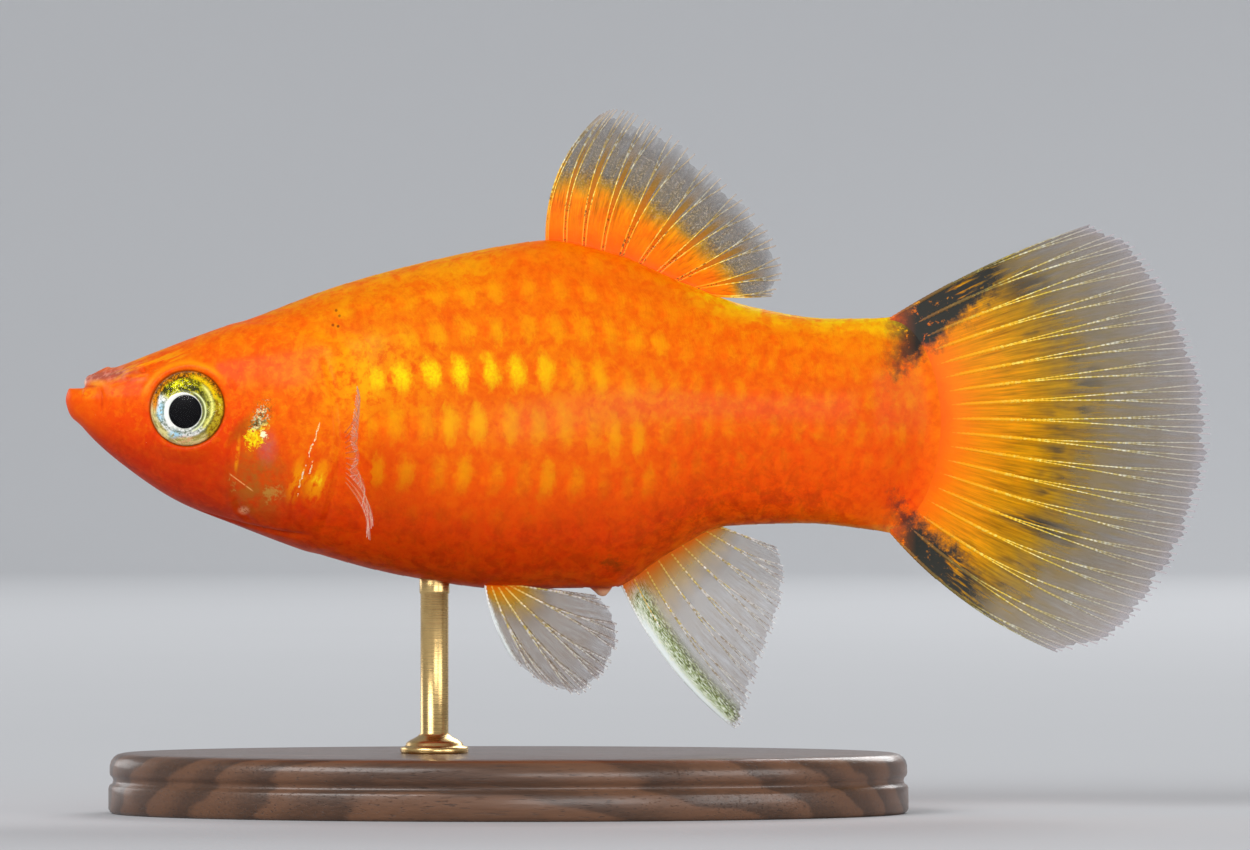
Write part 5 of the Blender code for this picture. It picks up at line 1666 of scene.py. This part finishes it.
def make_base():
    """An oval base with a moulded edge."""
    long, wide, tall = BASE_SIZE
    count = 160
    turns = 2 * np.pi * np.arange(count) / count
    rings = []
    for share, inset in BASE_PROFILE:
        ring = [BASE_X + (long / 2 - inset) * np.cos(turns), (wide / 2 - inset) * np.sin(turns)]
        rings.append(np.stack([*ring, np.full(count, share * tall)], -1))
    points = np.concatenate([*rings, [(BASE_X, 0, tall)], [(BASE_X, 0, 0)]])
    faces = grid_faces(len(rings), count, closed=True)
    last = (len(rings) - 1) * count
    faces += [(last + j, last + (j + 1) % count, len(points) - 2) for j in range(count)]
    faces += [((j + 1) % count, j, len(points) - 1) for j in range(count)]
    return outward(mesh_object("base", points * MM, faces))


def make_rod():
    """A round rod up to the belly, with a turned foot."""
    foot, start, behind = ROD_FOOT, BASE_SIZE[2], ROD_X - SNOUT_X
    top = AXIS_HEIGHT + float(belly(behind)) + 0.5
    profile = [
        (0, start), (foot - 0.05, start), (foot, start + 0.06), (foot, start + 0.26),
        (foot - 0.06, start + 0.32), (foot - 0.2, start + 0.34), (foot - 0.26, start + 0.4),
        (foot - 0.3, start + 0.52), (foot - 0.5, start + 0.66), (ROD_RADIUS + 0.22, start + 0.78),
        (ROD_RADIUS + 0.08, start + 0.86), (ROD_RADIUS - 0.05, start + 1.0),
        (ROD_RADIUS - 0.05, top - 1.1), (ROD_RADIUS, top - 1.02), (ROD_RADIUS, top - 0.95),
        (ROD_RADIUS, top - 0.1), (ROD_RADIUS - 0.08, top), (0, top),
    ]  # fmt: skip
    return turned("rod", profile, 48, np.array((behind, 0.0, -AXIS_HEIGHT)), np.eye(3))[0]


class PLATY_OT_skin(bpy.types.Operator):
    """Make the skin of head and body"""

    bl_idname = "platy.skin"
    bl_label = "Skin"

    def execute(self, context):
        nodes = ("head", "jaw", "gill_cover_left", "gill_cover_right", "torso", "tail_stalk")
        finished(make_skin(), skin_material(), "head_skin", *nodes)
        return {"FINISHED"}


class PLATY_OT_scales(bpy.types.Operator):
    """Lay the scales over the body"""

    bl_idname = "platy.scales"
    bl_label = "Scales"

    def execute(self, context):
        material = scale_material()
        values = {"Lift": context.scene.platy_skin.lift, "Material": material}
        coat = grown("scales", make_bed(), scale_tree(), values, material)
        if not coat.data.polygons:
            raise RuntimeError("the scales came out empty")
        finished(coat, material, "body_skin", "torso", "tail_stalk")
        return {"FINISHED"}


class PLATY_OT_eyes(bpy.types.Operator):
    """Set the eyes in the head"""

    bl_idname = "platy.eyes"
    bl_label = "Eyes"

    def execute(self, context):
        iris, cornea = iris_material(), cornea_material()
        for side, word in ((-1, "left"), (1, "right")):
            make_eye(side, word, iris, cornea)
        return {"FINISHED"}


class PLATY_OT_fins(bpy.types.Operator):
    """Make the membranes and rays of the fins"""

    bl_idname = "platy.fins"
    bl_label = "Fins"

    def execute(self, context):
        kinds = sorted(PARTING)
        sheets = {kind: membrane_material(kind) for kind in kinds}
        tubes = {kind: ray_material(kind) for kind in kinds}
        for name, blade, rays, kind, inset, slot in FINS:
            sheet = membrane(name, blade, rays, FRAY[kind], inset)
            finished(sheet, sheets[kind], slot, "fin_" + name)
            *_, joint, waist = PARTING[kind]
            values = {"Joint": joint * MM, "Waist": waist, "Material": tubes[kind]}
            lines = ray_lines(blade, rays, kind, inset)
            grown_rays = grown("rays_" + name, lines, ray_tree(), values, tubes[kind])
            finished(grown_rays, tubes[kind], slot, "fin_" + name)
        return {"FINISHED"}


class PLATY_OT_stand(bpy.types.Operator):
    """Make the wooden base and the brass rod"""

    bl_idname = "platy.stand"
    bl_label = "Stand"

    def execute(self, context):
        finished(make_base(), wood_material(), "base_wood", "stand_base")
        finished(make_rod(), brass_material(), "rod_brass", "stand_rod")
        return {"FINISHED"}


# Where the lamps stand in metres, their size, and their share of the key light's strength
LAMPS = (
    ("key", (-0.45, -0.62, 0.48), (0.5, 0.4), 1.0),
    ("front", (0.2, -0.9, 0.06), (0.4, 0.3), 0.5),
    ("fill", (0.6, -0.52, 0.14), (0.4, 0.3), 0.34),
    ("rear", (0.35, 0.7, 0.5), (0.5, 0.4), 0.8),
    ("rear_fill", (-0.55, 0.5, 0.2), (0.4, 0.3), 0.2),
)
LAMP_AIM = (0.0, 0.0, 0.02)
# The camera's place, its lens and the width of its picture, in millimetres
CAMERA_AT = (-0.675, -520.8, 19.4)
LENS, SENSOR = 300.0, 36.0


def area_light(name, place, size, power):
    """A lamp that shines at the fish."""
    data = bpy.data.lights.new(name, "AREA")
    data.shape = "RECTANGLE"
    data.size, data.size_y = size
    data.energy = power
    lamp = link(bpy.data.objects.new(name, data))
    lamp.location = place
    lamp.rotation_euler = (Vector(LAMP_AIM) - Vector(place)).to_track_quat("-Z", "Y").to_euler()


def make_floor():
    """A round floor that curves up into a wall on all sides, so that every view has it behind the fish."""
    flat, bend, tall, count = 0.85, 0.2, 0.3, 96
    quarter = np.linspace(0.0, math.pi / 2, 24)
    arc = [(flat + bend * math.sin(a), bend - bend * math.cos(a)) for a in quarter]
    line = [(r, 0.0) for r in np.linspace(0.03, flat, 12)[:-1]] + arc + [(flat + bend, tall)]
    turns = 2 * np.pi * np.arange(count) / count
    rings = [np.stack([r * np.cos(turns), r * np.sin(turns), np.full(count, h)], -1) for r, h in line]
    points = np.concatenate([*rings, [(0.0, 0.0, 0.0)]])
    faces = [face[::-1] for face in grid_faces(len(line), count, closed=True)]
    faces += [(len(points) - 1, j, (j + 1) % count) for j in range(count)]
    return mesh_object("floor", points, faces)


class PLATY_OT_studio(bpy.types.Operator):
    """Set up the camera, the pale floor and the soft light"""

    bl_idname = "platy.studio"
    bl_label = "Studio"

    def execute(self, context):
        scene = context.scene
        data = bpy.data.cameras.new("camera")
        data.lens, data.sensor_width = LENS, SENSOR
        data.clip_start, data.clip_end = 0.01, 5.0
        camera = link(bpy.data.objects.new("camera", data))
        camera.location = [v * MM for v in CAMERA_AT]
        camera.rotation_euler = (math.pi / 2, 0.0, 0.0)
        scene.camera = camera

        floor = make_floor()
        paint = Paint("pale paper")
        tone = paint.cloud(0.02, 2.0)
        shade = tuple(scene.platy_studio.floor)
        paint.colour = paint.mix(tone * 0.3, shade, tuple(c * 0.94 for c in shade))
        floor.data.materials.append(paint.done(Roughness=0.9, Specular_IOR_Level=0.1))
        floor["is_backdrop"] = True

        for name, place, size, share in LAMPS:
            area_light(name, place, size, scene.platy_studio.key * share)
        world = bpy.data.worlds.new("studio air")
        world.use_nodes = True
        air = world.node_tree.nodes["Background"].inputs
        air[0].default_value = (0.95, 0.97, 1.0, 1.0)
        air[1].default_value = 0.35
        scene.world = world
        scene.view_settings.view_transform = "Standard"
        return {"FINISHED"}


class PLATY_PT_panel(bpy.types.Panel):
    bl_idname = "PLATY_PT_panel"
    bl_label = "Red comet platy"
    bl_space_type = "VIEW_3D"
    bl_region_type = "UI"
    bl_category = "Platy"

    def draw(self, context):
        for operator, group in STEPS:
            box = self.layout.box()
            box.operator(operator.bl_idname)
            settings = getattr(context.scene, group) if group else None
            for name in settings.__annotations__ if settings else ():
                box.prop(settings, name)


STEPS = (
    (PLATY_OT_studio, "platy_studio"),
    (PLATY_OT_skin, "platy_skin"),
    (PLATY_OT_scales, None),
    (PLATY_OT_eyes, None),
    (PLATY_OT_fins, "platy_fins"),
    (PLATY_OT_stand, "platy_stand"),
)
GROUPS = {
    "platy_skin": PlatySkin,
    "platy_fins": PlatyFins,
    "platy_stand": PlatyStand,
    "platy_studio": PlatyStudio,
}


def register():
    for group in GROUPS.values():
        bpy.utils.register_class(group)
    for operator, _ in STEPS:
        bpy.utils.register_class(operator)
    bpy.utils.register_class(PLATY_PT_panel)
    for name, group in GROUPS.items():
        setattr(bpy.types.Scene, name, bpy.props.PointerProperty(type=group))


def unregister():
    for name in GROUPS:
        delattr(bpy.types.Scene, name)
    bpy.utils.unregister_class(PLATY_PT_panel)
    for operator, _ in reversed(STEPS):
        bpy.utils.unregister_class(operator)
    for group in GROUPS.values():
        bpy.utils.unregister_class(group)


def corners():
    return [list(corner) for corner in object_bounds()]


def main():
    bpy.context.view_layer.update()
    register()
    bpy.ops.platy.studio()
    bpy.ops.platy.skin()
    bpy.ops.platy.scales()
    bpy.ops.platy.eyes()
    bpy.ops.platy.fins()
    bpy.ops.platy.stand()


if __name__ == "__main__":
    main()
